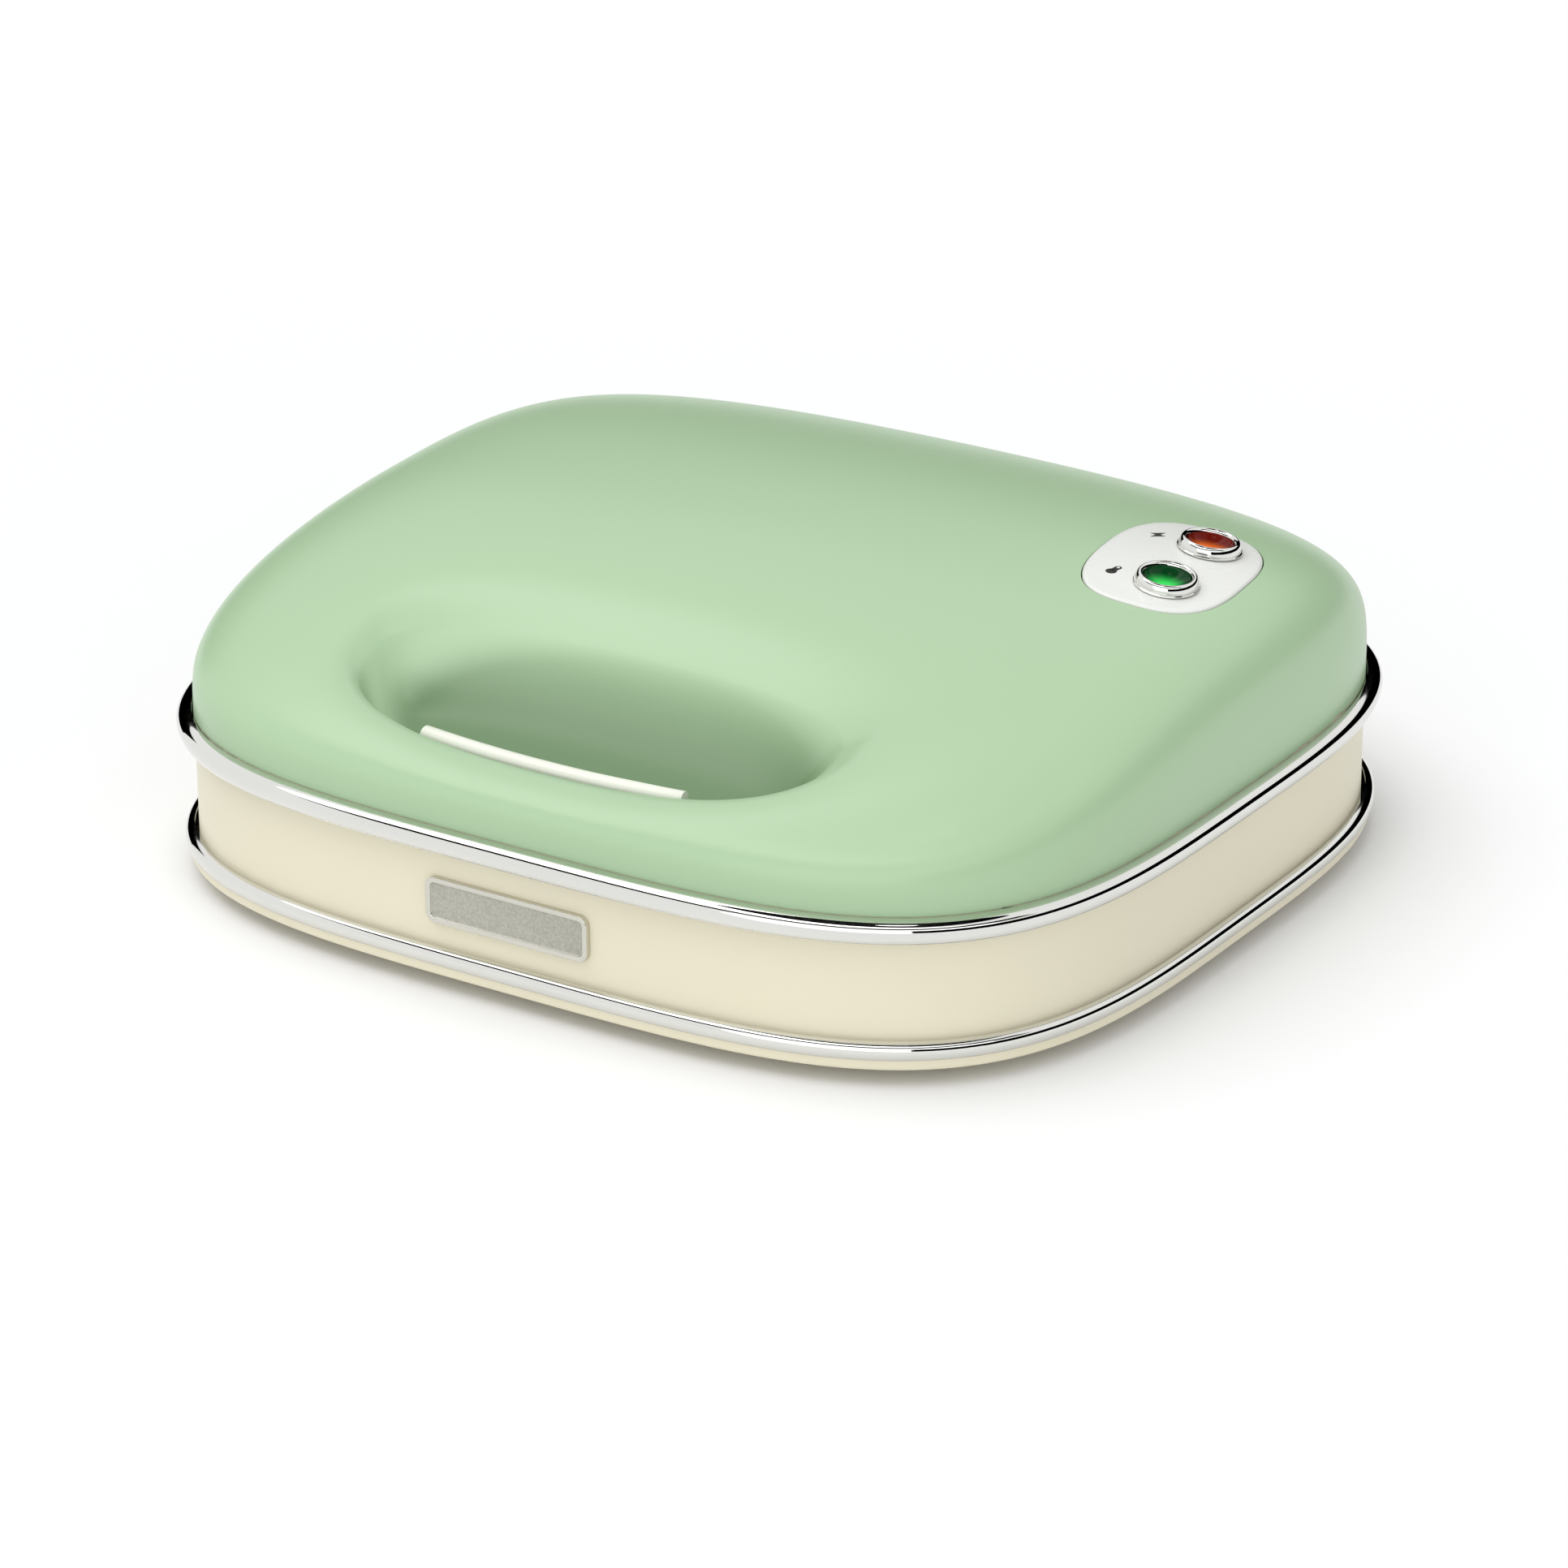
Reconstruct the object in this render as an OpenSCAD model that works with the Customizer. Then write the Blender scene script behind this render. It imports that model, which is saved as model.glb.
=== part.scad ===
// Sandwich toaster with a hinged lid, a finger pocket and a latch lever.
// +X is the user's right, -Y the front, +Z up; the origin is on the table,
// under the middle of the whole appliance. Lengths are in millimetres.

/* [Outline] */
// Width over the trim rings
body_w = 260; // [248:1:300]
// Depth over the trim rings, without the hinge
body_d = 240; // [232:1:280]
// Squareness of the outline, 2 for an ellipse
outline_power = 3.6; // [3.2:0.1:4.4]
// Facets round the outline
outline_steps = 120; // [96:4:144]

/* [Heights] */
// Height of the feet below the base
foot_h = 4; // [3:0.5:8]
// Cream lip under the lower trim ring
lip_h = 2.6; // [2:0.2:5]
// Height of the lower trim ring
low_trim_h = 4.4; // [3:0.2:7]
// Cream band between the two trim rings
band_h = 24.2; // [23.6:0.2:40]
// Gap between the closed lid and the base
closing_gap = 0.4; // [0.3:0.1:1]
// Height of the upper trim ring
up_trim_h = 5.3; // [5:0.1:8]
// Rise of the green shell above its trim ring, at the middle
dome_h = 41; // [39:0.5:60]
// How steadily the shell climbs from the front to the back
dome_lean = 6.4; // [2:0.2:8]
// Fall of the crown towards the front edge
front_fall = 20; // [16:0.5:22]
// Fall of the crown towards the back edge
back_fall = 28; // [20:0.5:30]
// Fall of the crown towards each side
side_fall = 4.2; // [0:0.2:6]

/* [Walls] */
// How far the trim rings stand out from the band
trim_reach = 4.4; // [3.4:0.1:6]
// How much smaller the lower trim ring is, each side
low_trim_inset = 1; // [0:0.1:1.6]
// Wall of the cream band
band_wall = 2.4; // [2:0.1:3.2]
// Wall of the green shell
shell_wall = 2.4; // [1.8:0.1:3]
// Inset of the green shell from the trim ring's outer edge
rim_inset = 4.2; // [3.6:0.1:5]
// Thickness of the two decks that carry the plates
deck_t = 2.5; // [2:0.1:3]
// Thickness of the bottom cover
cover_t = 3; // [2.6:0.1:4]

/* [Finger pocket] */
// Length of the pocket
pocket_w = 129; // [110:1:134]
// Width of the pocket, front to back
pocket_d = 45.5; // [42:0.5:54]
// Part of that width in front of the pocket's widest place
pocket_belly = 25.5; // [23:0.5:27]
// Distance from the front of the trim ring to the pocket's lip
lip_setback = 16.5; // [16:0.5:20]
// Length of the lever's slot
slot_w = 80; // [66:1:86]
// Width of the lever's slot
slot_d = 7.2; // [6.6:0.2:7.6]
// Depth of the turned-down lip over the slot
lip_turn = 2.4; // [1.6:0.2:3.2]

/* [Cooking plates] */
// Space between each side of the casing and the plates
plate_side = 21; // [20:0.5:30]
// Depth of each plate
plate_d = 130; // [112:1:132]
// Distance of the plates behind the middle of the outline
plate_back = 16; // [12:1:17]
// Depth of the wells
well_h = 11; // [8:0.5:12]
// Rim between a well and the edge of the plate
plate_rim = 7; // [6:0.5:12]
// Web between the two wells
well_web = 8; // [6:0.5:16]
// Height of the diagonal cutting ridge
ridge_h = 7.5; // [4:0.5:8]
// Metal under a well's floor
plate_floor = 3.6; // [3:0.1:4.4]

/* [Hinge] */
// Distance of the hinge axis behind the trim ring
hinge_back = 5.8; // [5.6:0.1:7]
// Radius of the hinge knuckles
knuckle_r = 4.4; // [4:0.1:4.8]
// Radius of the hinge pin
pin_r = 2; // [1.6:0.1:2.4]
// Length of the lid's knuckle
knuckle_w = 72; // [50:1:90]
// Width of each ear on the base
ear_w = 12; // [8:0.5:16]

/* [Lamps] */
// Distance of the lamp plate's middle from the casing's right side
lamp_side = 40; // [38:0.5:50]
// Distance of the lamp plate behind the middle
lamp_y = 30; // [20:0.5:40]
// Turn of the lamp plate, which follows the lid's rounded corner
lamp_turn = 6; // [0:1:10]
// Width of the lamp plate
lamp_plate_w = 36; // [34:1:38]
// Depth of the lamp plate
lamp_plate_d = 53; // [50:1:56]
// Distance between the two lamps
lamp_pitch = 25.4; // [22:0.2:27]
// Outer radius of a lamp's bezel
bezel_r = 7.9; // [7.4:0.1:8.2]

/* [Badge] */
// Width of the bare badge
badge_w = 45; // [30:1:60]
// Height of the bare badge
badge_h = 11.5; // [8:0.5:16]
// Thickness of the badge
badge_t = 1.4; // [1:0.1:2]

/* [Fasteners and clearances] */
// Radius of the screws
screw_r = 1.5; // [1.2:0.1:1.8]
// Radius of the screw heads
screw_head_r = 3; // [2.6:0.1:3.4]
// Radius of the rubber feet
foot_r = 8; // [6:0.5:10]
// Radius of the hole for the cord
cord_r = 3.5; // [2.5:0.1:4]
// Radial gap of a pin in its bore
running_gap = 0.05; // [0.02:0.01:0.08]
// Gap round pieces that drop into each other
fit_gap = 0.3; // [0.2:0.05:0.4]

/* [Hidden] */
$fn = 64;

// Colours, as they are seen
CREAM = [0.92, 0.89, 0.79];
GREEN = [0.70, 0.83, 0.66];
CHROME = [0.86, 0.86, 0.84];
STEEL = [0.66, 0.66, 0.66];
COATING = [0.16, 0.16, 0.17];
RUBBER = [0.12, 0.12, 0.12];
CERAMIC = [0.90, 0.88, 0.82];
BRASS = [0.80, 0.66, 0.35];
WHITE = [0.94, 0.94, 0.92];

// Heights above the table
z_base = foot_h;
z_low_trim = z_base + lip_h;
z_band = z_low_trim + low_trim_h;
z_part = z_band + band_h;
z_lid = z_part + closing_gap;
z_rim = z_lid + up_trim_h;

// Hinge axis, and the shift that puts the whole appliance over the origin
half_w = body_w / 2;
plate_w = body_w - 2 * plate_side;
lamp_x = half_w - lamp_side;
half_d = body_d / 2;
ear_r = knuckle_r + 0.3;
axis_y = half_d + hinge_back;
axis_z = z_lid + up_trim_h / 2;
rear_y = axis_y + ear_r;
body_y = -(rear_y - half_d) / 2;

// ---- Outline of the appliance, seen from above ----

// Point at an angle on the outline, moved inwards by inset
function outline(angle, inset) =
    let (
        n = outline_power,
        c = cos(angle),
        s = sin(angle),
        radius = pow(pow(abs(c) / half_w, n) + pow(abs(s) / half_d, n), -1 / n),
        slope = [
            sign(c) * pow(radius * abs(c) / half_w, n - 1) / half_w,
            sign(s) * pow(radius * abs(s) / half_d, n - 1) / half_d
        ]
    )
    [radius * c, radius * s] - inset * slope / norm(slope);

function step_angle(i) = 360 * i / outline_steps;
function outline_loop(inset) =
    [for (i = [0 : outline_steps - 1]) outline(step_angle(i), inset)];
function mix(a, b, t) = a + (b - a) * t;
function flat(lists) = [for (list = lists) each list];

module outline_slab(inset, height) {
    linear_extrude(height = height) polygon(outline_loop(inset));
}

// Everything is drawn about the middle of the outline and shifted here
module on_body() {
    translate([0, body_y, 0]) children();
}

// Skin over cross-sections, each a closed loop of as many points
module skin(sections, joined) {
    count = len(sections);
    loop = len(sections[0]);
    bands = joined ? count : count - 1;
    sides = [
        for (i = [0 : bands - 1], j = [0 : loop - 1])
            let (
                a = i * loop + j,
                b = i * loop + (j + 1) % loop,
                c = (i + 1) % count * loop + (j + 1) % loop,
                d = (i + 1) % count * loop + j
            )
            each [[a, b, c], [a, c, d]]
    ];
    caps = joined ? [] : [
        [for (j = [loop - 1 : -1 : 0]) j],
        [for (j = [0 : loop - 1]) (count - 1) * loop + j]
    ];
    polyhedron(points = flat(sections), faces = concat(sides, caps));
}

// A moulding round the outline: profile is a loop of [inset, height]
module moulding(profile) {
    skin([
        for (i = [0 : outline_steps - 1])
            [for (p = profile) let (q = outline(step_angle(i), p[0])) [q[0], q[1], p[1]]]
    ], true);
}

// The same, but open at the back for at least back_angle to each side
module open_moulding(profile, back_angle) {
    gap = ceil(back_angle / step_angle(1));
    skin([
        for (i = [gap : outline_steps - gap])
            [for (p = profile) let (q = outline(90 + step_angle(i), p[0])) [q[0], q[1], p[1]]]
    ], false);
}

// Rounded bead of a trim ring: edges at its lower and upper insets
function trim_profile(z0, height, outer, low_edge, top_edge) = [
    [trim_reach, z0],
    [low_edge, z0],
    for (a = [-60 : 20 : 60])
        let (t = (a + 90) / 180, edge = mix(low_edge, top_edge, t))
        [edge - (edge - outer) * cos(a), z0 + height * (1 + sin(a)) / 2],
    [top_edge, z0 + height],
    [trim_reach, z0 + height]
];

// ---- Dome of the lid ----

top_power = 3.4;
edge_sharpness = 8;
shoulder_power = 8.6;
shoulder_round = 4.2;
front_power = 1.8;
back_power = 2.7;

function radial(x, y, n) =
    pow(pow(abs(x) / (half_w - rim_inset), n) + pow(abs(y) / (half_d - rim_inset), n), 1 / n);
function reach(x, y) =
    let (outer = radial(x, y, outline_power), inner = radial(x, y, top_power))
    inner + (outer - inner) * pow(min(outer, 1), edge_sharpness);
function crown(x, y) =
    let (t = y / half_d)
    dome_h + dome_lean * t - side_fall * pow(x / (half_w - rim_inset), 2)
        - (t > 0 ? back_fall * pow(t, back_power) : front_fall * pow(-t, front_power));
function shoulder(r) = pow(max(0, 1 - pow(r, shoulder_power)), 1 / shoulder_round);
// Height of the dome, without the pocket; rim is the reach at the shell's edge
function dome(x, y, rim = 1, drop = 0) =
    z_rim + (crown(x, y) - drop) * shoulder(min(1, reach(x, y) / rim));

// ---- Finger pocket ----

pocket_y = -half_d + lip_setback + pocket_belly;
nose = 1.4;
slot_floor = 7;
// How much the pocket's edge sinks below the dome: at the back, ends and front
sink_back = 6.5;
sink_side = 4.4;
sink_front = 4.6;
roll_length = 9;
pocket_power = 2.5;

function bent(value, power) = sign(value) * pow(abs(value), power);
function lip(angle) = [
    pocket_w / 2 * bent(cos(angle), 2 / pocket_power),
    pocket_y + (angle < 180 ? pocket_d - pocket_belly : pocket_belly) * bent(sin(angle), 2 / pocket_power)
];
function lip_front(x) =
    pocket_y - pocket_belly * pow(max(0, 1 - pow(abs(2 * x / pocket_w), pocket_power)), 1 / pocket_power);
function sink(angle) =
    let (s = sin(angle))
    sink_side + (s > 0 ? sink_back - sink_side : sink_front - sink_side) * s * s;
// Edge of the slot, from the lip's turned-down nose to behind the lever
function slot(angle) =
    let (x = slot_w / 2 * cos(angle), s = sin(angle))
    [x, lip_front(x) + nose + slot_d / 2 * (1 + bent(s, 0.25))];
// Steepness of the pocket's wall below its rounded edge
function wall_power(angle) =
    let (s = sin(angle))
    s > 0 ? mix(2.8, 2.6, s) : mix(2.8, 4.5, min(1, -2 * s)) - 2.3 * max(0, -2 * s - 1);
edge_roundness = 8;

slot_z = z_rim + slot_floor;
function slot_edge_z(angle) = slot_z + (1 - sin(angle)) * lip_turn / 4;

// Point of the shell between the pocket's edge (out = 0) and the rim (out = 1)
function shell_point(angle, out, inset, drop) =
    let (
        edge = lip(angle),
        rim = outline(angle, inset),
        p = mix(edge, rim, out),
        away = norm(p - edge),
        rim_reach = reach(rim[0], rim[1]),
        roll = sink(angle) * exp(-away / roll_length) * (1 - pow(out, 4))
    )
    [p[0], p[1], dome(p[0], p[1], rim_reach, drop) - roll];
// Point of the pocket's wall between its edge (down = 0) and the slot (down = 1)
function pocket_point(angle, down, drop) =
    let (
        edge = lip(angle),
        hole = slot(angle),
        p = mix(edge, hole, down),
        top = shell_point(angle, 0, rim_inset, 0),
        near = shell_point(angle, 0.02, rim_inset, 0),
        // The wall leaves the edge at the shell's own slope, and then steepens
        slope = (near[2] - top[2]) / norm([near[0] - top[0], near[1] - top[1]]),
        start = slope * norm(hole - edge) / (top[2] - slot_edge_z(angle)),
        power = wall_power(angle),
        fall = 1 - pow(1 - down, power) + (start - power) * down * pow(1 - down, edge_roundness)
    )
    [p[0], p[1], mix(top[2], slot_edge_z(angle), fall) - drop];

shell_rings = 13;
pocket_rings = 7;
inner_rings = 8;
inner_pocket_rings = 3;
function spread(k, count) = 1 - pow(k / count, 2.2);

function shell_section(angle) = concat(
    [for (k = [0 : shell_rings]) shell_point(angle, spread(k, shell_rings), rim_inset, 0)],
    [for (k = [1 : pocket_rings]) pocket_point(angle, pow(k / pocket_rings, 1.4), 0)],
    [for (k = [inner_pocket_rings : -1 : 1])
        pocket_point(angle, pow(k / inner_pocket_rings, 1.4), shell_wall)],
    [for (k = [inner_rings : -1 : 0])
        shell_point(angle, spread(k, inner_rings), rim_inset + shell_wall, shell_wall)]
);

// Turns its children so that +Z is square to the dome at a point
module on_dome(x, y) {
    d = 0.5;
    sx = (dome(x + d, y) - dome(x - d, y)) / (2 * d);
    sy = (dome(x, y + d) - dome(x, y - d)) / (2 * d);
    size = norm([sx, sy, 1]);
    translate([x, y, dome(x, y)])
        rotate([asin(sy / size), atan2(-sx, 1), 0])
            children();
}

// ---- Base: casing ----

cover_inset = trim_reach + band_wall + fit_gap;
deck_inset = trim_reach + band_wall + 0.05;
lip_inset = 2.1;
gland_r = cord_r + 3;
gland_z = z_band + 9.5;
panel_w = 2 * (gland_r + 12);
panel_floor = z_band + 0.5;

module base_band() {
    step = 1;
    color(CREAM) on_body()
        difference() {
            moulding([
                [lip_inset + step, z_base],
                [lip_inset + 0.3, z_base + 0.3],
                [lip_inset, z_base + step],
                [lip_inset, z_low_trim],
                [trim_reach, z_low_trim],
                [trim_reach, z_part - 0.6],
                [trim_reach + 0.6, z_part],
                [trim_reach + band_wall, z_part],
                [trim_reach + band_wall, z_base]
            ]);
            translate([-panel_w / 2, half_d - 20, panel_floor]) cube([panel_w, 30, body_d]);
        }
}

// Piece of the casing at the back that carries the cord's gland
module rear_panel() {
    color(CREAM) on_body()
        difference() {
            intersection() {
                translate([0, 0, panel_floor]) outline_slab(trim_reach, z_part - panel_floor);
                translate([0.05 - panel_w / 2, half_d - 20, 0]) cube([panel_w - 0.1, 30, z_part]);
            }
            outline_slab(trim_reach + band_wall, z_lid);
            translate([0, half_d - 20, gland_z])
                rotate([-90, 0, 0]) cylinder(r = gland_r + 0.1, h = 30);
        }
}

module lower_trim_ring() {
    color(CHROME) on_body()
        moulding(trim_profile(z_low_trim, low_trim_h, low_trim_inset, lip_inset, 3.3));
}

foot_x = 0.62 * half_w;
foot_y = 0.58 * half_d;
post_x = 0.71 * half_w;
post_front = -0.71 * half_d;
post_rear = plate_back + plate_d / 2 + 12.5;
post_r = 4;
foot_places = [for (sx = [-1, 1], sy = [-1, 1]) [sx * foot_x, sy * foot_y]];
post_places = [for (sx = [-1, 1], y = [post_front, post_rear]) [sx * post_x, y]];
foot_stem_r = foot_r / 2;
head_h = 1.6;

module bottom_cover() {
    vent_count = 9;
    vent_pitch = 9;
    vent_w = 3;
    vent_l = 34;
    color(CREAM) on_body()
        difference() {
            translate([0, 0, z_base]) outline_slab(cover_inset, cover_t);
            for (p = foot_places)
                translate([p[0], p[1], z_base - 1])
                    cylinder(r = foot_stem_r + running_gap, h = cover_t + 2);
            for (p = post_places) translate([p[0], p[1], z_base]) {
                translate([0, 0, -1]) cylinder(r = screw_r + 0.2, h = cover_t + 2);
                translate([0, 0, -1]) cylinder(r = screw_head_r + 0.2, h = 1 + head_h);
            }
            for (i = [0 : vent_count - 1])
                translate([(i - (vent_count - 1) / 2) * vent_pitch - vent_w / 2, -vent_l / 2, z_base - 1])
                    cube([vent_w, vent_l, cover_t + 2]);
        }
}

module rubber_feet() {
    color(RUBBER) on_body()
        for (p = foot_places) translate([p[0], p[1], 0]) {
            rotate_extrude()
                polygon([
                    [0, 0], [foot_r - 1, 0], [foot_r, 1], [foot_r, foot_h],
                    [foot_stem_r, foot_h], [foot_stem_r, foot_h + cover_t],
                    [foot_stem_r + 0.8, foot_h + cover_t],
                    [foot_stem_r - 0.4, foot_h + cover_t + 1.6], [0, foot_h + cover_t + 1.6]
                ]);
        }
}

screw_reach = 12;

module screw(length) {
    cylinder(r = screw_head_r, h = head_h);
    cylinder(r = screw_r, h = head_h + length);
}

module cover_screws() {
    color(STEEL) on_body()
        for (p = post_places)
            translate([p[0], p[1], z_base]) screw(screw_reach);
}

// ---- Cooking plates, decks and what heats them ----

flange_w = 3.5;
flange_t = 2;
sheet_t = 0.8;
plate_corner = 16;
element_r = 3.2;
element_gap = 0.2;
plate_h = well_h + plate_floor;
// Heights of the lower stack; the upper one is its mirror image
z_deck = z_part - deck_t;
z_flange = z_deck - flange_t;
z_plate = z_part - plate_h;
z_element = z_plate - element_gap - element_r;
z_pan = z_element - element_r - 1.6;
plate_screw_x = plate_w / 2 - 24;
plate_screw_y = plate_d / 2 + flange_w + screw_head_r + 0.2;
plate_screw_places = [for (sx = [-1, 1], sy = [-1, 1]) [sx * plate_screw_x, plate_back + sy * plate_screw_y]];
tab_r = 4;

// The upper half is the lower half turned over about the parting plane
module in_lid() {
    translate([0, 0, z_part + z_lid]) mirror([0, 0, 1]) children();
}

module rounded_slab(w, d, r, h) {
    linear_extrude(height = h) rounded_shape(w, d, r);
}

module rounded_shape(w, d, r) {
    square([w - 2 * r, d], center = true);
    square([w, d - 2 * r], center = true);
    for (sx = [-1, 1], sy = [-1, 1])
        translate([sx * (w / 2 - r), sy * (d / 2 - r)]) circle(r = r);
}

module at_plate(z) {
    translate([0, plate_back, z]) children();
}

module at_plate_screws(z) {
    for (p = plate_screw_places) translate([p[0], p[1], z]) children();
}

// Ears for the screws, at the front and back of a flange
module tabs(z, t) {
    at_plate_screws(z) cylinder(r = tab_r, h = t);
    for (x = [-plate_screw_x, plate_screw_x])
        at_plate(z) translate([x - tab_r, -plate_screw_y, 0])
            cube([2 * tab_r, 2 * plate_screw_y, t]);
}

well_w = (plate_w - 2 * plate_rim - well_web) / 2;
well_d = plate_d - 2 * plate_rim;

module cooking_plate() {
    ridge_w = 7;
    ridge_top = 2.4;
    well_corner = 9;
    difference() {
        union() {
            at_plate(z_plate) rounded_slab(plate_w, plate_d, plate_corner, plate_h);
            at_plate(z_flange)
                rounded_slab(plate_w + 2 * flange_w, plate_d + 2 * flange_w,
                    plate_corner + flange_w, flange_t);
            tabs(z_flange, flange_t);
        }
        for (side = [-1, 1])
            translate([side * (well_w + well_web) / 2, 0, 0])
                at_plate(z_plate + plate_floor) difference() {
                    rounded_slab(well_w, well_d, well_corner, well_h + 1);
                    rotate([0, 0, side * atan2(well_d, well_w)])
                        rotate([90, 0, 90])
                            translate([0, 0, -well_w])
                                linear_extrude(height = 2 * well_w)
                                    polygon([
                                        [-ridge_w / 2, -1], [ridge_w / 2, -1],
                                        [ridge_top / 2, ridge_h], [-ridge_top / 2, ridge_h]
                                    ]);
                }
        at_plate_screws(z_flange - 1) cylinder(r = screw_r + 0.2, h = flange_t + 2);
    }
}

// A loop of sheathed element: two long runs, one bend and two cold ends
module heating_element() {
    run_y = plate_d / 2 - 26;
    bend_x = plate_w / 2 - 26 - run_y;
    tail = 18;
    at_plate(z_element) {
        for (sy = [-1, 1])
            translate([-bend_x - tail, sy * run_y, 0])
                rotate([0, 90, 0]) cylinder(r = element_r, h = 2 * bend_x + tail);
        translate([bend_x, 0, 0])
            rotate_extrude(angle = 180, start = -90) translate([run_y, 0]) circle(r = element_r);
        for (sy = [-1, 1])
            translate([-bend_x - tail - 9, sy * run_y, 0])
                rotate([0, 90, 0]) cylinder(r = element_r / 2, h = 9.5);
    }
}

// hole_r is the opening for a thermostat
module reflector(hole_r) {
    pan_h = z_flange - z_pan;
    difference() {
        union() {
            at_plate(z_pan)
                rounded_slab(plate_w + 2 * flange_w, plate_d + 2 * flange_w,
                    plate_corner + flange_w, pan_h);
            tabs(z_flange - sheet_t, sheet_t);
        }
        at_plate(z_pan + sheet_t)
            rounded_slab(plate_w + 2 * flange_w - 2 * sheet_t, plate_d + 2 * flange_w - 2 * sheet_t,
                plate_corner + flange_w - sheet_t, pan_h);
        at_plate_screws(z_flange - sheet_t - 1) cylinder(r = screw_r + 0.2, h = sheet_t + 2);
        if (hole_r > 0) at_plate(z_pan - 1) cylinder(r = hole_r, h = sheet_t + 2);
    }
}

module plate_screws() {
    at_plate_screws(z_flange - sheet_t - head_h) screw(sheet_t + flange_t + deck_t - 0.4);
}

module deck_opening(z, h) {
    at_plate(z) rounded_slab(plate_w + 2 * fit_gap, plate_d + 2 * fit_gap, plate_corner + fit_gap, h);
}

// Window in both decks where the hook goes down
hook_w = 18;
window_w = hook_w + 8;

module base_deck() {
    color(CREAM) on_body()
        difference() {
            union() {
                translate([0, 0, z_deck]) outline_slab(deck_inset, deck_t);
                for (p = post_places)
                    translate([p[0], p[1], z_base + cover_t])
                        cylinder(r = post_r, h = z_deck - z_base - cover_t + 1);
            }
            deck_opening(z_deck - 1, deck_t + 2);
            for (p = post_places)
                translate([p[0], p[1], z_base + cover_t - 1])
                    cylinder(r = screw_r + running_gap, h = screw_reach + 1);
            at_plate_screws(z_deck - 1) cylinder(r = screw_r + running_gap, h = deck_t + 0.8);
            translate([-window_w / 2, hook_y - 5.5, z_deck - 1]) cube([window_w, 11, deck_t + 2]);
        }
}

module lower_cooking_plate() {
    color(COATING) on_body() cooking_plate();
}

module lower_heating_element() {
    color(STEEL) on_body() heating_element();
}

module lower_reflector() {
    color(STEEL) on_body() reflector(thermostat_r + 0.6);
}

module lower_plate_screws() {
    color(STEEL) on_body() plate_screws();
}

// ---- Base: electrics ----

thermostat_r = 6;
thermostat_h = 10;
lug_w = 5;
lug_drop = 9.2;
lead_x = 8;

module thermostat() {
    color(CERAMIC) on_body()
        at_plate(z_plate) {
            translate([0, 0, -thermostat_h]) cylinder(r = thermostat_r, h = thermostat_h - 0.05);
            translate([0, 0, -thermostat_h - 1.5]) cylinder(r = thermostat_r - 2.5, h = 2);
            for (sx = [-1, 1])
                translate([sx * lead_x - 3, -lug_w / 2, -lug_drop]) cube([6, lug_w, 0.8]);
        }
}

fuse_x = 46;
fuse_r = 2.4;

module thermal_fuse() {
    color(BRASS) on_body()
        at_plate(z_plate - fuse_r - 0.1)
            translate([fuse_x, 0, 0])
                rotate([90, 0, 0]) {
                    translate([0, 0, -7]) cylinder(r = fuse_r, h = 14);
                    translate([0, 0, -13]) cylinder(r = 0.6, h = 26);
                }
}

block_y = plate_back + plate_d / 2 + flange_w + 7;
block_z = z_base + cover_t;
block_w = 4.5 * lead_x;
block_d = 11;
block_h = 9;
lead_rise = 2.4;
lead_r = 1;

module terminal_block() {
    color(CERAMIC) on_body()
        translate([0, block_y, block_z]) difference() {
            translate([-block_w / 2, 0, 0]) cube([block_w, block_d, block_h]);
            for (x = [-lead_x, 0, lead_x]) translate([x, 0, 0]) {
                translate([0, block_d / 2, block_h / 2]) cylinder(r = 2, h = block_h);
                translate([0, -1, lead_rise]) rotate([-90, 0, 0])
                    cylinder(r = lead_r + 0.1, h = block_d + 2);
            }
        }
}

// Two wires from the terminal block to the thermostat's lugs
module thermostat_leads() {
    z = block_z + lead_rise;
    rise = z_plate - lug_drop - z;
    color(CERAMIC) on_body()
        for (side = [-1, 1]) translate([side * lead_x, 0, z]) {
            translate([0, plate_back, 0]) rotate([-90, 0, 0])
                cylinder(r = lead_r, h = block_y + block_d - 2 - plate_back);
            translate([0, plate_back, 0]) sphere(r = lead_r);
            translate([0, plate_back, 0]) cylinder(r = lead_r, h = rise);
        }
}

gland_flange = 4;

module cord_gland() {
    inner_y = half_d - trim_reach - band_wall - gland_flange;
    length = rear_y - inner_y;
    color(RUBBER) on_body()
        translate([0, inner_y, gland_z])
            rotate([-90, 0, 0])
                difference() {
                    union() {
                        cylinder(r = gland_r, h = length);
                        cylinder(r = gland_r + 1.6, h = gland_flange - 0.1);
                    }
                    translate([0, 0, -1]) cylinder(r = cord_r, h = length + 2);
                }
}

// ---- Hinge ----

housing_w = knuckle_w + 2 * ear_w + 2 * fit_gap;
housing_y = half_d - trim_reach - 4;
housing_floor = z_band + 0.8;
housing_top = axis_z - knuckle_r - 0.8;

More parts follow.
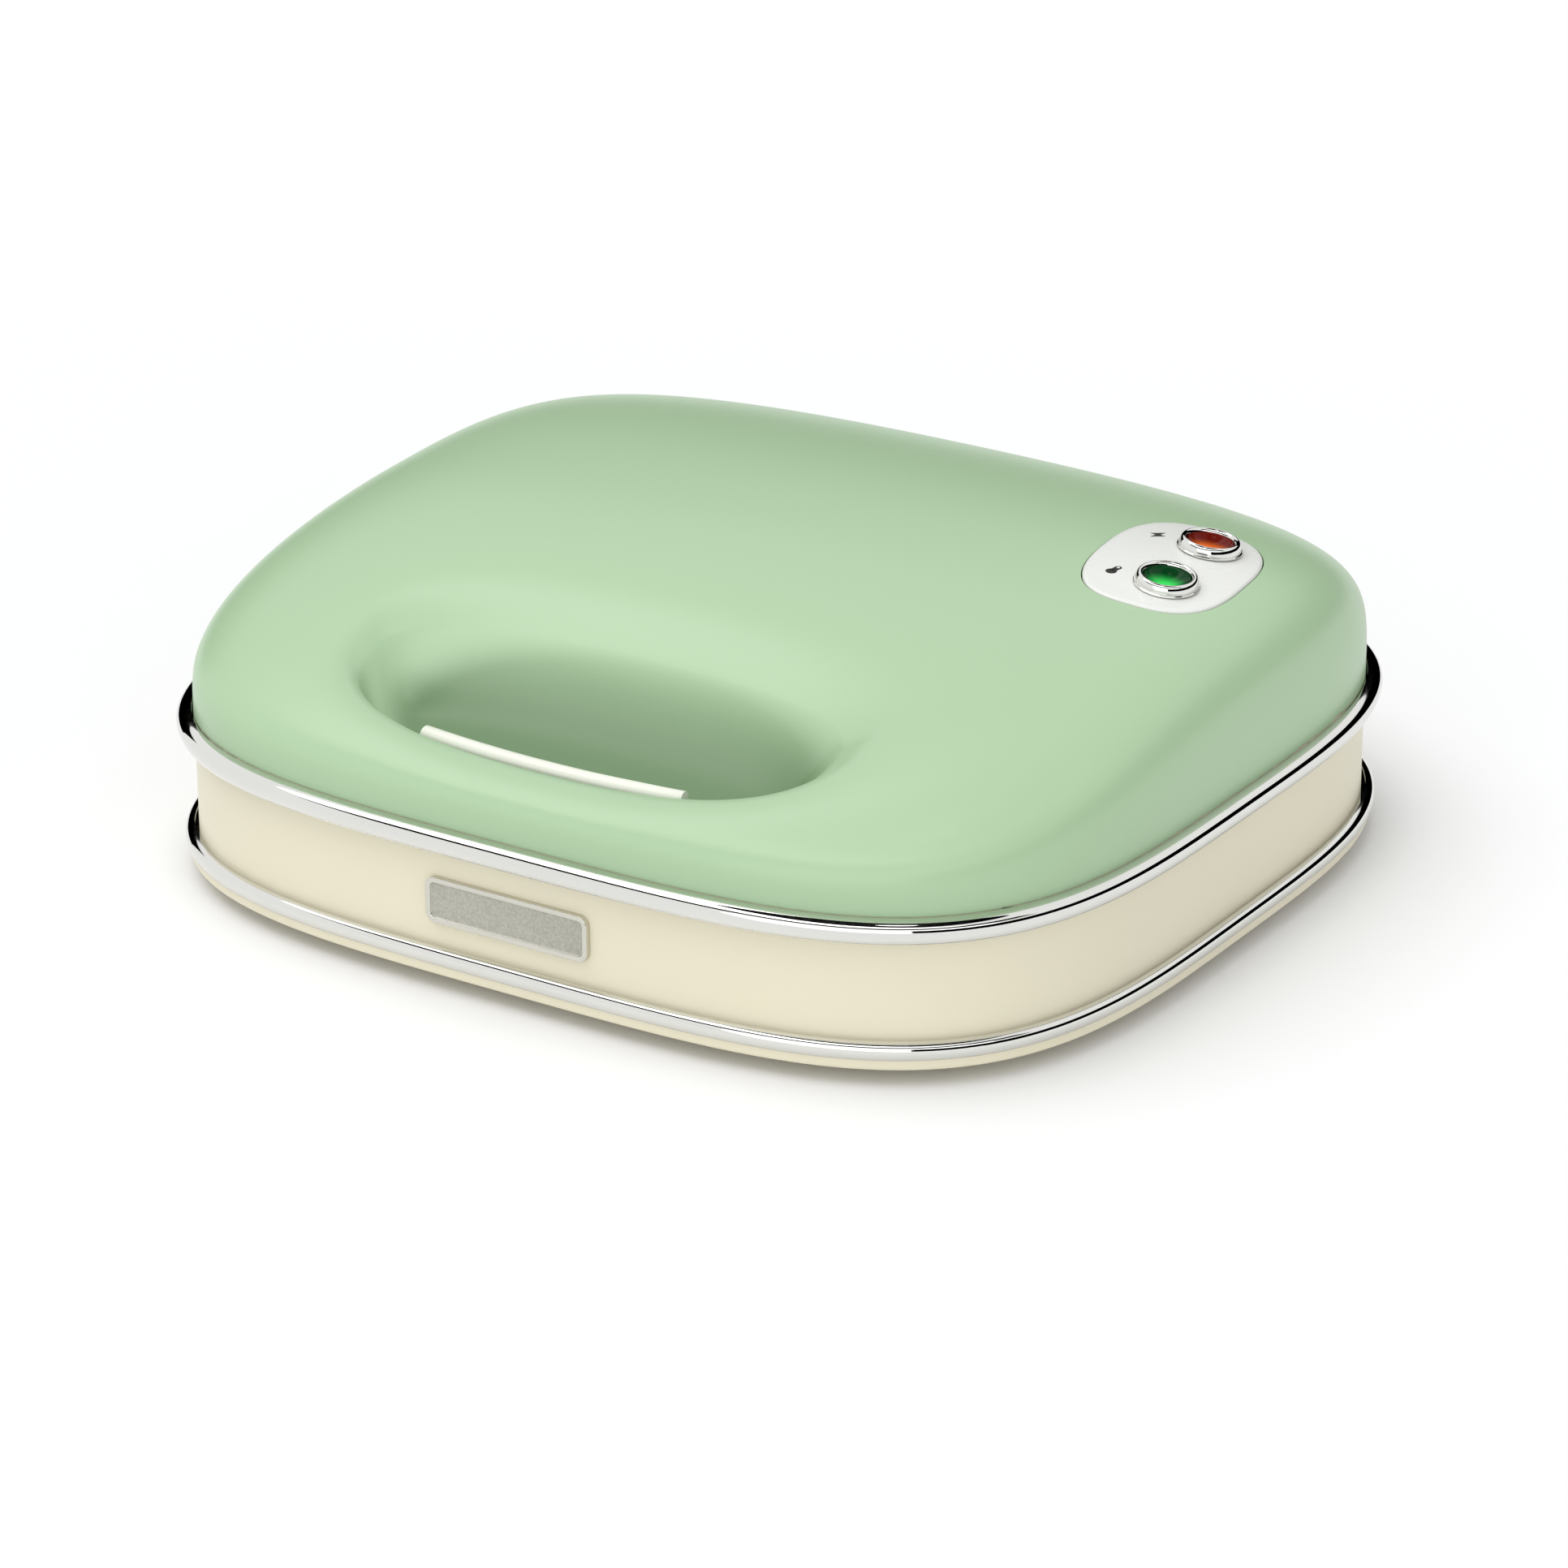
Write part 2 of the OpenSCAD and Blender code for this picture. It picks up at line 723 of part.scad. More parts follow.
module hinge_housing() {
    color(CREAM) on_body()
        difference() {
            union() {
                translate([-housing_w / 2, housing_y, housing_floor])
                    cube([housing_w, rear_y - housing_y, housing_top - housing_floor]);
                for (side = [-1, 1])
                    translate([side * (knuckle_w / 2 + fit_gap + ear_w / 2), 0, 0]) {
                        translate([-ear_w / 2, axis_y - ear_r, housing_top - 1])
                            cube([ear_w, 2 * ear_r, axis_z - housing_top + 1]);
                        translate([-ear_w / 2, axis_y, axis_z])
                            rotate([0, 90, 0]) cylinder(r = ear_r, h = ear_w);
                    }
            }
            translate([-housing_w / 2 - 1, axis_y, axis_z])
                rotate([0, 90, 0]) cylinder(r = pin_r + running_gap, h = housing_w + 2);
            translate([0, housing_y - 1, gland_z])
                rotate([-90, 0, 0]) cylinder(r = gland_r + 0.1, h = rear_y - housing_y + 2);
            outline_slab(trim_reach, z_lid);
        }
}

module hinge_pin() {
    color(STEEL) on_body()
        translate([-housing_w / 2 + 0.5, axis_y, axis_z])
            rotate([0, 90, 0]) cylinder(r = pin_r, h = housing_w - 1);
}

arm_inner_y = half_d - 22;
arm_gap = 0.5;
arm_screw_x = knuckle_w / 3;
arm_screw_y = arm_inner_y + 5;

module lid_hinge_arm() {
    web_z = z_lid + deck_t;
    color(CREAM) on_body()
        difference() {
            union() {
                translate([-knuckle_w / 2, axis_y, axis_z])
                    rotate([0, 90, 0]) cylinder(r = knuckle_r, h = knuckle_w);
                translate([-knuckle_w / 2, arm_inner_y, web_z])
                    cube([knuckle_w, axis_y - arm_inner_y, z_rim - arm_gap - web_z]);
            }
            translate([-knuckle_w / 2 - 1, axis_y, axis_z])
                rotate([0, 90, 0]) cylinder(r = pin_r + running_gap, h = knuckle_w + 2);
            for (side = [-1, 1])
                translate([side * arm_screw_x, arm_screw_y, web_z - 1])
                    cylinder(r = screw_r + 0.2, h = 8);
        }
}

module hinge_arm_screws() {
    color(STEEL) on_body()
        for (side = [-1, 1])
            translate([side * arm_screw_x, arm_screw_y, z_rim - arm_gap + head_h])
                mirror([0, 0, 1]) screw(z_rim - arm_gap - z_lid - 0.6);
}

// ---- Latch ----

hook_y = -half_d + 21;
lever_axis_y = -half_d + 36;
lever_axis_z = z_lid + deck_t + 3.3;
lever_barrel_r = 2.8;
lever_pin_r = 1.4;
lever_w = 46;
bar_t = 4.2;
bar_w = slot_w - 8;
bar_gap = 0.8;
blade_t = 2;
lever_web_z = lever_axis_z - 0.6;
hook_bottom = z_part - 8.5;
barb = 1.2;
hook_t = 2.2;
window_gap = 0.5;

// The bar follows the lip: an arc through its middle and its two ends
bar_y = lip_front(0) + nose + bar_gap + bar_t / 2;
bar_sag = lip_front(bar_w / 2) - lip_front(0);
bar_radius = (pow(bar_w / 2, 2) + pow(bar_sag, 2)) / (2 * bar_sag);
bar_angle = asin(bar_w / 2 / bar_radius);
bar_rise = 5.2;
bar_z = slot_z + bar_rise;

module latch_lever() {
    color(CREAM) on_body()
        difference() {
            union() {
                translate([0, bar_y + bar_radius, 0])
                    rotate_extrude(angle = 2 * bar_angle, start = -90 - bar_angle) {
                        translate([bar_radius, bar_z]) circle(r = bar_t / 2);
                        translate([bar_radius - blade_t / 2, bar_z - 8]) square([blade_t, 8]);
                    }
                translate([-lever_w / 2, bar_y + 1, lever_web_z])
                    cube([lever_w, lever_axis_y - bar_y - 1, 2.4]);
                translate([-lever_w / 2, bar_y - blade_t / 2 + 0.4, lever_web_z])
                    cube([lever_w, blade_t, bar_z - lever_web_z - 3]);
                translate([-lever_w / 2, lever_axis_y, lever_axis_z])
                    rotate([0, 90, 0]) cylinder(r = lever_barrel_r, h = lever_w);
                translate([-hook_w / 2, hook_y - hook_t / 2, hook_bottom])
                    cube([hook_w, hook_t, lever_web_z - hook_bottom + 1]);
                translate([-hook_w / 2, hook_y - hook_t / 2, hook_bottom])
                    cube([hook_w, hook_t + barb, 2]);
            }
            translate([-lever_w / 2 - 1, lever_axis_y, lever_axis_z])
                rotate([0, 90, 0]) cylinder(r = lever_pin_r + running_gap, h = lever_w + 2);
            translate([-spring_w / 2 - fit_gap, lever_axis_y - 5, lever_axis_z - 5])
                cube([spring_w + 2 * fit_gap, 10, 10]);
        }
}

lever_ear_w = 4;

module lever_pin() {
    length = lever_w + 2 * lever_ear_w;
    color(STEEL) on_body()
        translate([-length / 2, lever_axis_y, lever_axis_z])
            rotate([0, 90, 0]) cylinder(r = lever_pin_r, h = length);
}

spring_w = 9;
spring_wire = 0.45;
spring_turns = 5;

module lever_spring() {
    steps = 12;
    sides = 6;
    coil_r = lever_pin_r + spring_wire + 0.2;
    color(STEEL) on_body()
        translate([0, lever_axis_y, lever_axis_z])
            skin([
                for (i = [0 : spring_turns * steps])
                    let (turn = 360 * i / steps,
                         x = mix(-1, 1, i / (spring_turns * steps)) * (spring_w / 2 - 1))
                    [for (k = [0 : sides - 1])
                        let (a = 360 * k / sides, r = coil_r + spring_wire * cos(a))
                        [x + spring_wire * sin(a), r * cos(turn), r * sin(turn)]]
            ], false);
}

module latch_keeper() {
    plate_t = 1.5;
    window_front = hook_y - hook_t / 2 - 3;
    window_rear = hook_y + hook_t / 2 + barb + window_gap;
    top = z_deck;
    color(STEEL) on_body()
        difference() {
            translate([-window_w / 2 - 6, window_front - 4, top - plate_t])
                cube([window_w + 12, window_rear - window_front + 9, plate_t]);
            translate([-hook_w / 2 - 1.5, window_front, top - plate_t - 1])
                cube([hook_w + 3, window_rear - window_front, plate_t + 2]);
        }
}

// ---- Badge ----

module badge() {
    border = 1.3;
    face_depth = 0.5;
    corner = 2.6;
    color(CHROME) on_body()
        translate([0, -half_d + trim_reach, z_band + band_h / 2 - 0.6])
            rotate([90, 0, 0])
                difference() {
                    rounded_slab(badge_w, badge_h, corner, badge_t);
                    translate([0, 0, badge_t - face_depth])
                        rounded_slab(badge_w - 2 * border, badge_h - 2 * border, corner - border, 1);
                }
}

// ---- Lid: casing ----

module lid_shell() {
    color(GREEN) on_body()
        difference() {
            skin([for (i = [0 : outline_steps - 1]) shell_section(step_angle(i))], true);
            translate([0, 0, z_rim + dome_h / 3])
                linear_extrude(height = dome_h) polygon(lamp_outline(1, fit_gap));
        }
}

module upper_trim_ring() {
    color(CHROME) on_body()
        open_moulding(trim_profile(z_lid, up_trim_h, 0, 1, 3.7),
            atan2(knuckle_w / 2 + fit_gap, half_d - trim_reach));
}

module lid_deck() {
    skirt_t = 3;
    color(CREAM) on_body()
        difference() {
            union() {
                translate([0, 0, z_lid]) outline_slab(trim_reach, deck_t);
                difference() {
                    translate([0, 0, z_lid]) outline_slab(trim_reach, up_trim_h);
                    translate([0, 0, z_lid - 1]) outline_slab(trim_reach + skirt_t, up_trim_h + 2);
                    translate([-knuckle_w / 2 - fit_gap, 0, z_lid + deck_t])
                        cube([knuckle_w + 2 * fit_gap, body_d, up_trim_h]);
                }
                for (side = [-1, 1])
                    translate([side * (lever_w / 2 + fit_gap + lever_ear_w / 2), 0, 0]) {
                        translate([-lever_ear_w / 2, lever_axis_y, lever_axis_z])
                            rotate([0, 90, 0]) cylinder(r = lever_barrel_r, h = lever_ear_w);
                        translate([-lever_ear_w / 2, lever_axis_y - lever_barrel_r, z_lid + 1])
                            cube([lever_ear_w, 2 * lever_barrel_r, lever_axis_z - z_lid - 1]);
                    }
            }
            deck_opening(z_lid - 1, deck_t + 2);
            in_lid() at_plate_screws(z_deck - 1)
                cylinder(r = screw_r + running_gap, h = deck_t + 0.8);
            translate([-window_w / 2, hook_y - 5.5, z_lid - 1]) cube([window_w, 11, deck_t + 2]);
            translate([-body_w / 2, lever_axis_y, lever_axis_z])
                rotate([0, 90, 0]) cylinder(r = lever_pin_r + running_gap, h = body_w);
            for (side = [-1, 1])
                translate([side * arm_screw_x, arm_screw_y, z_lid + 0.6])
                    cylinder(r = screw_r + running_gap, h = deck_t);
        }
}

module upper_cooking_plate() {
    color(COATING) on_body() in_lid() cooking_plate();
}

module upper_heating_element() {
    color(STEEL) on_body() in_lid() heating_element();
}

module upper_reflector() {
    color(STEEL) on_body() in_lid() reflector(0);
}

module upper_plate_screws() {
    color(STEEL) on_body() in_lid() plate_screws();
}

// ---- Lid: lamps ----

lamp_steps = 48;
lamp_power = 2.7;
plate_proud = 0.5;
plate_skin = 2.6;
// How far both lamps are off the plate's middle, towards the lid's side
lamp_shift = 3.8;
function lamp_place(side) =
    [lamp_x, lamp_y] + lamp_shift * [cos(lamp_turn), sin(lamp_turn)]
        + side * lamp_pitch / 2 * [-sin(lamp_turn), cos(lamp_turn)];
power_lamp = lamp_place(1);
ready_lamp = lamp_place(-1);

// Outline of the lamp plate, scaled about its middle and then grown
function lamp_outline(scale, grow) = [
    for (i = [0 : lamp_steps - 1])
        let (
            a = -360 * i / lamp_steps,
            hw = lamp_plate_w / 2 * scale + grow,
            hd = lamp_plate_d / 2 * scale + grow,
            r = pow(pow(abs(cos(a)) / hw, lamp_power) + pow(abs(sin(a)) / hd, lamp_power), -1 / lamp_power)
        )
        [lamp_x + r * cos(a + lamp_turn), lamp_y + r * sin(a + lamp_turn)]
];
function lamp_layer(scale, rise) =
    [for (p = lamp_outline(scale, 0)) [p[0], p[1], dome(p[0], p[1]) + rise]];

module lamp_plate() {
    color(WHITE) on_body()
        difference() {
            skin(concat(
                [for (s = [0.05, 0.35, 0.65, 0.9]) lamp_layer(s, -plate_skin)],
                [lamp_layer(1, -plate_skin), lamp_layer(1, plate_proud - 0.5), lamp_layer(0.975, plate_proud)],
                [for (s = [0.9, 0.65, 0.35, 0.05]) lamp_layer(s, plate_proud)]
            ), false);
            for (p = [power_lamp, ready_lamp])
                on_dome(p[0], p[1]) translate([0, 0, -10]) cylinder(r = body_r + running_gap, h = 20);
        }
}

body_r = 6.1;
bezel_h = 2.8;
lens_r = 5.4;
sleeve_l = 6;
holder_t = 2;
holder_drop = sleeve_l + holder_t + 0.9;

module bezel() {
    // Flange on the plate, rounded crown, and a sleeve down through the hole
    rotate_extrude()
        polygon([
            [lens_r + running_gap, -sleeve_l], [body_r, -sleeve_l], [body_r, plate_proud + 0.05],
            [bezel_r, plate_proud + 0.05], [bezel_r, plate_proud + 0.6],
            for (a = [15 : 15 : 165])
                let (mid = (bezel_r - 0.3 + lens_r + running_gap) / 2,
                     half = (bezel_r - 0.3 - lens_r - running_gap) / 2)
                [mid + half * cos(a), plate_proud + 0.6 + (bezel_h - 0.6) * sin(a)],
            [lens_r + running_gap, plate_proud + 0.6]
        ]);
}

module lens() {
    cup = 1.3;
    rotate_extrude()
        polygon([
            [0, -4], [lens_r, -4], [lens_r, plate_proud + 1.2],
            for (t = [4 : -1 : 0])
                let (u = t / 4) [lens_r * 0.92 * u, plate_proud + 1.0 - cup * (1 - u * u)]
        ]);
}

module neon() {
    translate([0, 0, -11]) cylinder(r = 2.2, h = 6.9);
    translate([0, 0, -14]) cylinder(r = 0.5, h = 3.2);
}

module power_lamp_bezel() { color(CHROME) on_body() on_dome(power_lamp[0], power_lamp[1]) bezel(); }
module ready_lamp_bezel() { color(CHROME) on_body() on_dome(ready_lamp[0], ready_lamp[1]) bezel(); }
module power_lamp_lens() { color([0.85, 0.25, 0.05]) on_body() on_dome(power_lamp[0], power_lamp[1]) lens(); }
module ready_lamp_lens() { color([0.05, 0.6, 0.2]) on_body() on_dome(ready_lamp[0], ready_lamp[1]) lens(); }
module power_lamp_neon() { color(CERAMIC) on_body() on_dome(power_lamp[0], power_lamp[1]) neon(); }
module ready_lamp_neon() { color(CERAMIC) on_body() on_dome(ready_lamp[0], ready_lamp[1]) neon(); }

// Bracket under the shell that holds both neons
module lamp_holder() {
    mid_y = (power_lamp[1] + ready_lamp[1]) / 2;
    color(CERAMIC) on_body()
        difference() {
            on_dome((power_lamp[0] + ready_lamp[0]) / 2, mid_y)
                translate([0, 0, -holder_drop]) rounded_slab(14, lamp_pitch + 14, 6, holder_t);
            for (p = [power_lamp, ready_lamp])
                on_dome(p[0], p[1]) translate([0, 0, -16]) cylinder(r = 2.2 + running_gap, h = 14);
        }
}

base_band();
rear_panel();
lower_trim_ring();
bottom_cover();
rubber_feet();
cover_screws();
base_deck();
lower_cooking_plate();
lower_heating_element();
lower_reflector();
lower_plate_screws();
thermostat();
thermal_fuse();
terminal_block();
thermostat_leads();
cord_gland();
hinge_housing();
hinge_pin();
latch_keeper();
badge();
lid_shell();
upper_trim_ring();
lid_deck();
upper_cooking_plate();
upper_heating_element();
upper_reflector();
upper_plate_screws();
lid_hinge_arm();
hinge_arm_screws();
lamp_plate();
power_lamp_bezel();
ready_lamp_bezel();
power_lamp_lens();
ready_lamp_lens();
power_lamp_neon();
ready_lamp_neon();
lamp_holder();
latch_lever();
lever_pin();
lever_spring();
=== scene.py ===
# %% [markdown]
# # A sandwich toaster with a domed lid
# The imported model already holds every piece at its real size. This lesson dresses it:
# it rounds what the model keeps plain, gives each surface its finish, and sets up the
# studio. It starts with the frame, because every piece rides on one of its bodies.

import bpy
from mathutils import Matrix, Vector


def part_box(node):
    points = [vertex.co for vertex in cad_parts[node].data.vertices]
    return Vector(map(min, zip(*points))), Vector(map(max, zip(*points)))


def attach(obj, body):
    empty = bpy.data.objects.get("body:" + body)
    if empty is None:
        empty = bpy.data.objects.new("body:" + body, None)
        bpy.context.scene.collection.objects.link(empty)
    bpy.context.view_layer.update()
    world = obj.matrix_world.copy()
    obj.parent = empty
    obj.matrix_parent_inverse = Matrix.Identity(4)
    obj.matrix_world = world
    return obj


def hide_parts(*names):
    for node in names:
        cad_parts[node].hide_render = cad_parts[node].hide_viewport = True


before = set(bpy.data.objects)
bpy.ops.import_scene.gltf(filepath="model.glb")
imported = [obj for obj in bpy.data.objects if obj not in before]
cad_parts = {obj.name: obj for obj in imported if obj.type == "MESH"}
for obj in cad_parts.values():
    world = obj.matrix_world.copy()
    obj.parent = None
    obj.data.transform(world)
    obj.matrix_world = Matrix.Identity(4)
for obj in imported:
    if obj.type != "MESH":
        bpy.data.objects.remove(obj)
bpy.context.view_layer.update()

# %% The tools of this lesson
from math import asin, atan2, ceil, cos, exp, inf, pi, radians, sin, tan

import bmesh
import bpy
from mathutils import Matrix, Vector

MM = 0.001


def placed(name, data):
    """A new object in the scene, at the origin."""
    made = bpy.data.objects.new(name, data)
    bpy.context.scene.collection.objects.link(made)
    return made


def to_mesh(name, shape):
    """A mesh from a finished shape, which is used up."""
    mesh = bpy.data.meshes.new(name)
    shape.to_mesh(mesh)
    shape.free()
    return mesh


def put(tree, socket, value):
    """Sets a socket to a number or a colour, or links it to another socket."""
    if isinstance(value, bpy.types.NodeSocket):
        tree.links.new(value, socket)
    else:
        socket.default_value = (*value, 1) if isinstance(value, tuple) else value


def maths(tree, operation, *values):
    """A math node on its two or three values."""
    made = tree.nodes.new("ShaderNodeMath")
    made.operation = operation
    for socket, value in zip(made.inputs, values):
        put(tree, socket, value)
    return made.outputs[0]


print("helpers: objects, meshes and sockets")

# %% [markdown]
# ## The camera
# The photograph looks down on the right front corner through a long lens. The two
# chrome rings are the same oval at two heights, so they give the whole camera: its
# direction, its distance and its lens. The aim is the middle of the casing's foot.

# %% Place the camera
PHOTO_SIZE = 1932
VIEW_AZIMUTH = radians(32.98)
VIEW_ELEVATION = radians(23.35)
VIEW_ROLL = radians(0.27)
VIEW_DISTANCE = 1496 * MM
VIEW_RISE = 8.73 * MM
FOCAL_PIXELS = 7561
SENSOR = 36

lower_ring_low, lower_ring_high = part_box("lower_trim_ring")
BODY_Y = (lower_ring_low.y + lower_ring_high.y) / 2 / MM
FOOT_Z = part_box("base_band")[0].z


def place_camera():
    """A camera that looks along the photograph's line of sight."""
    level = cos(VIEW_ELEVATION)
    back = Vector((sin(VIEW_AZIMUTH) * level, -cos(VIEW_AZIMUTH) * level, sin(VIEW_ELEVATION)))
    across = Vector((cos(VIEW_AZIMUTH), sin(VIEW_AZIMUTH), 0))
    above = back.cross(across)
    right = cos(VIEW_ROLL) * across - sin(VIEW_ROLL) * above
    up = sin(VIEW_ROLL) * across + cos(VIEW_ROLL) * above
    spot = Vector((0, BODY_Y * MM, FOOT_Z)) + VIEW_DISTANCE * back + VIEW_RISE * up
    camera = placed("camera", bpy.data.cameras.new("camera"))
    camera.matrix_world = Matrix((
        (right.x, up.x, back.x, spot.x),
        (right.y, up.y, back.y, spot.y),
        (right.z, up.z, back.z, spot.z),
        (0, 0, 0, 1),
    ))
    camera.data.sensor_width = SENSOR
    camera.data.lens = FOCAL_PIXELS / PHOTO_SIZE * SENSOR
    bpy.context.scene.camera = camera
    print("camera: lens", round(camera.data.lens, 1), "mm at", [round(c, 3) for c in spot])


place_camera()

# %% [markdown]
# ## The studio
# The photograph has a white sweep, a soft shadow and no hard highlight. A white world
# lights everything evenly, and two very soft suns give the lid its shape. Lamps at
# infinity keep the floor evenly white, so it meets the white background unseen.

# %% Light, world and floor
AMBIENT = 0.5
AMBIENT_TINT = (0.97, 0.985, 1)
# Each sun's strength, its spread and its tilt, the last two in degrees
SUNS = {"key_sun": (1.45, 60, (8, -14, 0)), "fill_sun": (1.15, 90, (68, 0, 30))}


def build_world():
    """White for what is seen directly or mirrored, and softer white as light."""
    world = bpy.data.worlds.new("studio")
    bpy.context.scene.world = world
    world.use_nodes = True
    tree = world.node_tree
    tree.nodes.clear()
    path = tree.nodes.new("ShaderNodeLightPath").outputs
    seen = maths(tree, "MAXIMUM", path["Is Camera Ray"], path["Is Glossy Ray"])
    seen = maths(tree, "MAXIMUM", seen, path["Is Transmission Ray"])
    both = tree.nodes.new("ShaderNodeMixShader")
    put(tree, both.inputs[0], seen)
    for socket, tint, strength in ((both.inputs[1], AMBIENT_TINT, AMBIENT),
                                   (both.inputs[2], (1, 1, 1), 1)):
        light = tree.nodes.new("ShaderNodeBackground")
        put(tree, light.inputs["Color"], tint)
        put(tree, light.inputs["Strength"], strength)
        put(tree, socket, light.outputs[0])
    put(tree, tree.nodes.new("ShaderNodeOutputWorld").inputs["Surface"], both.outputs[0])


def build_suns():
    """Lamps at infinity, as soft as their spread is wide."""
    for name, (strength, spread, tilt) in SUNS.items():
        light = bpy.data.lights.new(name, "SUN")
        light.energy = strength
        light.angle = radians(spread)
        placed(name, light).rotation_euler = [radians(angle) for angle in tilt]


build_world()
build_suns()
bpy.context.scene.view_settings.view_transform = "Standard"
print("studio:", len(SUNS), "suns")

# %% [markdown]
# ## Dark cards for the chrome
# Chrome shows only what stands round it, and in a white room it looks like paper. Three
# black screens stand where only mirrored rays see them: a low one to the right and
# behind, a narrow one high up in front, which draws the dark line along the rings, and
# one overhead for the crowns of the bezels.

# %% Cards
CARD_DISTANCE = 2.0
CARD_STEPS = 64
# Start and end of each card's arc from +X, and its lower and upper angle of sight
CARDS = {"low_card": (-52, 170, 2, 26), "high_card": (-150, 10, 37, 50),
         "top_card": (-180, 180, 66, 86)}


def build_card(name, start, end, low, high):
    """A strip of a cylinder round the toaster, black and seen by mirrors alone."""
    shape = bmesh.new()
    bmesh.ops.create_grid(shape, x_segments=CARD_STEPS, y_segments=1, size=1)
    for corner in shape.verts:
        turn = radians(start + (end - start) * (corner.co.x + 1) / 2)
        rise = tan(radians(low if corner.co.y < 0 else high))
        corner.co = CARD_DISTANCE * Vector((cos(turn), sin(turn), rise))
    black = bpy.data.materials.new(name)
    black.use_nodes = True
    tree = black.node_tree
    tree.nodes.clear()
    dark = tree.nodes.new("ShaderNodeEmission")
    put(tree, dark.inputs["Color"], (0, 0, 0))
    put(tree, tree.nodes.new("ShaderNodeOutputMaterial").inputs["Surface"], dark.outputs[0])
    card = placed(name, to_mesh(name, shape))
    card.data.materials.append(black)
    card.visible_camera = card.visible_diffuse = card.visible_shadow = False
    card.visible_transmission = False


for name, angles in CARDS.items():
    build_card(name, *angles)
print("cards:", len(CARDS))

# %% [markdown]
# ## Finishes
# A new appliance is clean, but no surface is perfectly even: mouldings have a faint
# mottle, paint has orange peel, and polish varies. One group makes that for every
# finish, from two noises on the piece's own coordinates. It puts out a colour, a
# roughness and a height, and each material places it with its own values.

# %% The group for an uneven surface
NOISE_RANGE = (0.3, 0.7)
PATCH_DETAIL, GRAIN_DETAIL = 3, 4
# The sockets of a Mix node that mixes two colours
FIRST_COLOUR, SECOND_COLOUR, MIXED_COLOUR = 6, 7, 2


def node_group(name, inputs, outputs):
    """An empty shader group with its sockets, and its input and output nodes."""
    made = bpy.data.node_groups.new(name, "ShaderNodeTree")
    for label, kind in inputs.items():
        made.interface.new_socket(label, in_out="INPUT", socket_type=f"NodeSocket{kind}")
    for label, kind in outputs.items():
        made.interface.new_socket(label, in_out="OUTPUT", socket_type=f"NodeSocket{kind}")
    return made, made.nodes.new("NodeGroupInput"), made.nodes.new("NodeGroupOutput")


def noise(tree, place, scale, detail):
    """A noise texture at a place."""
    made = tree.nodes.new("ShaderNodeTexNoise")
    for label, value in (("Detail", detail), ("Vector", place), ("Scale", scale)):
        put(tree, made.inputs[label], value)
    return made.outputs["Fac"]


def ranged(tree, value, start, end, low, high, steps="SMOOTHSTEP"):
    """Maps a value from start and end onto low and high."""
    made = tree.nodes.new("ShaderNodeMapRange")
    made.interpolation_type = steps
    for label, given in (("Value", value), ("From Min", start), ("From Max", end),
                         ("To Min", low), ("To Max", high)):
        put(tree, made.inputs[label], given)
    return made.outputs["Result"]


def spread(tree, value, low, high):
    """Maps a noise, which stays near its middle, onto the range from low to high."""
    return ranged(tree, value, *NOISE_RANGE, low, high, "LINEAR")


def blended(tree, mask, first, second):
    """Mixes two colours by a mask."""
    made = tree.nodes.new("ShaderNodeMix")
    made.data_type = "RGBA"
    put(tree, made.inputs["Factor"], mask)
    put(tree, made.inputs[FIRST_COLOUR], first)
    put(tree, made.inputs[SECOND_COLOUR], second)
    return made.outputs[MIXED_COLOUR]


def far_from(tree, centre, reach):
    """How far a place is from a centre, each axis measured by its reach."""
    mapping = tree.nodes.new("ShaderNodeMapping")
    mapping.inputs["Location"].default_value = [-c / r for c, r in zip(centre, reach)]
    mapping.inputs["Scale"].default_value = [1 / r for r in reach]
    put(tree, mapping.inputs["Vector"], tree.nodes.new("ShaderNodeTexCoord").outputs["Object"])
    away = tree.nodes.new("ShaderNodeVectorMath")
    away.operation = "LENGTH"
    put(tree, away.inputs[0], mapping.outputs["Vector"])
    return away.outputs["Value"]


def build_uneven():
    """Patches change the colour and the polish, and a fine grain gives the height."""
    tree, given, result = node_group(
        "uneven_surface",
        {"Colour": "Color", "Second colour": "Color", "Patches": "Float", "Grain": "Float",
         "Polished": "Float", "Dull": "Float", "Stretch": "Vector"},
        {"Colour": "Color", "Roughness": "Float", "Height": "Float"},
    )
    given = given.outputs
    mapping = tree.nodes.new("ShaderNodeMapping")
    put(tree, mapping.inputs["Vector"], tree.nodes.new("ShaderNodeTexCoord").outputs["Object"])
    put(tree, mapping.inputs["Scale"], given["Stretch"])
    drawn = mapping.outputs["Vector"]
    patches = noise(tree, drawn, given["Patches"], PATCH_DETAIL)
    grain = noise(tree, drawn, given["Grain"], GRAIN_DETAIL)
    mask = spread(tree, patches, 0, 1)
    colour = blended(tree, mask, given["Colour"], given["Second colour"])
    both = maths(tree, "MULTIPLY_ADD", patches, 0.5, maths(tree, "MULTIPLY", grain, 0.5))
    rough = spread(tree, both, given["Polished"], given["Dull"])
    for label, value in (("Colour", colour), ("Roughness", rough), ("Height", grain)):
        put(tree, result.inputs[label], value)
    return tree


UNEVEN = build_uneven()
print("group:", UNEVEN.name)

# %% [markdown]
# ## One function for the plain finishes
# Paint, plastic, rubber and metal differ in a few numbers: two near colours, the size
# of the patches and of the grain, the range of the polish and the depth of the bump.
# What is the same all over, such as the metal share or the coat, is set on the shader.

# %% Materials
def from_srgb(red, green, blue):
    """A colour as a screen shows it, from 0 to 255, in Blender's linear values."""
    return tuple(((c / 255 + 0.055) / 1.055) ** 2.4 for c in (red, green, blue))


def nearby(colour, change):
    """The same colour, a little darker or lighter."""
    return tuple(c * change for c in colour)


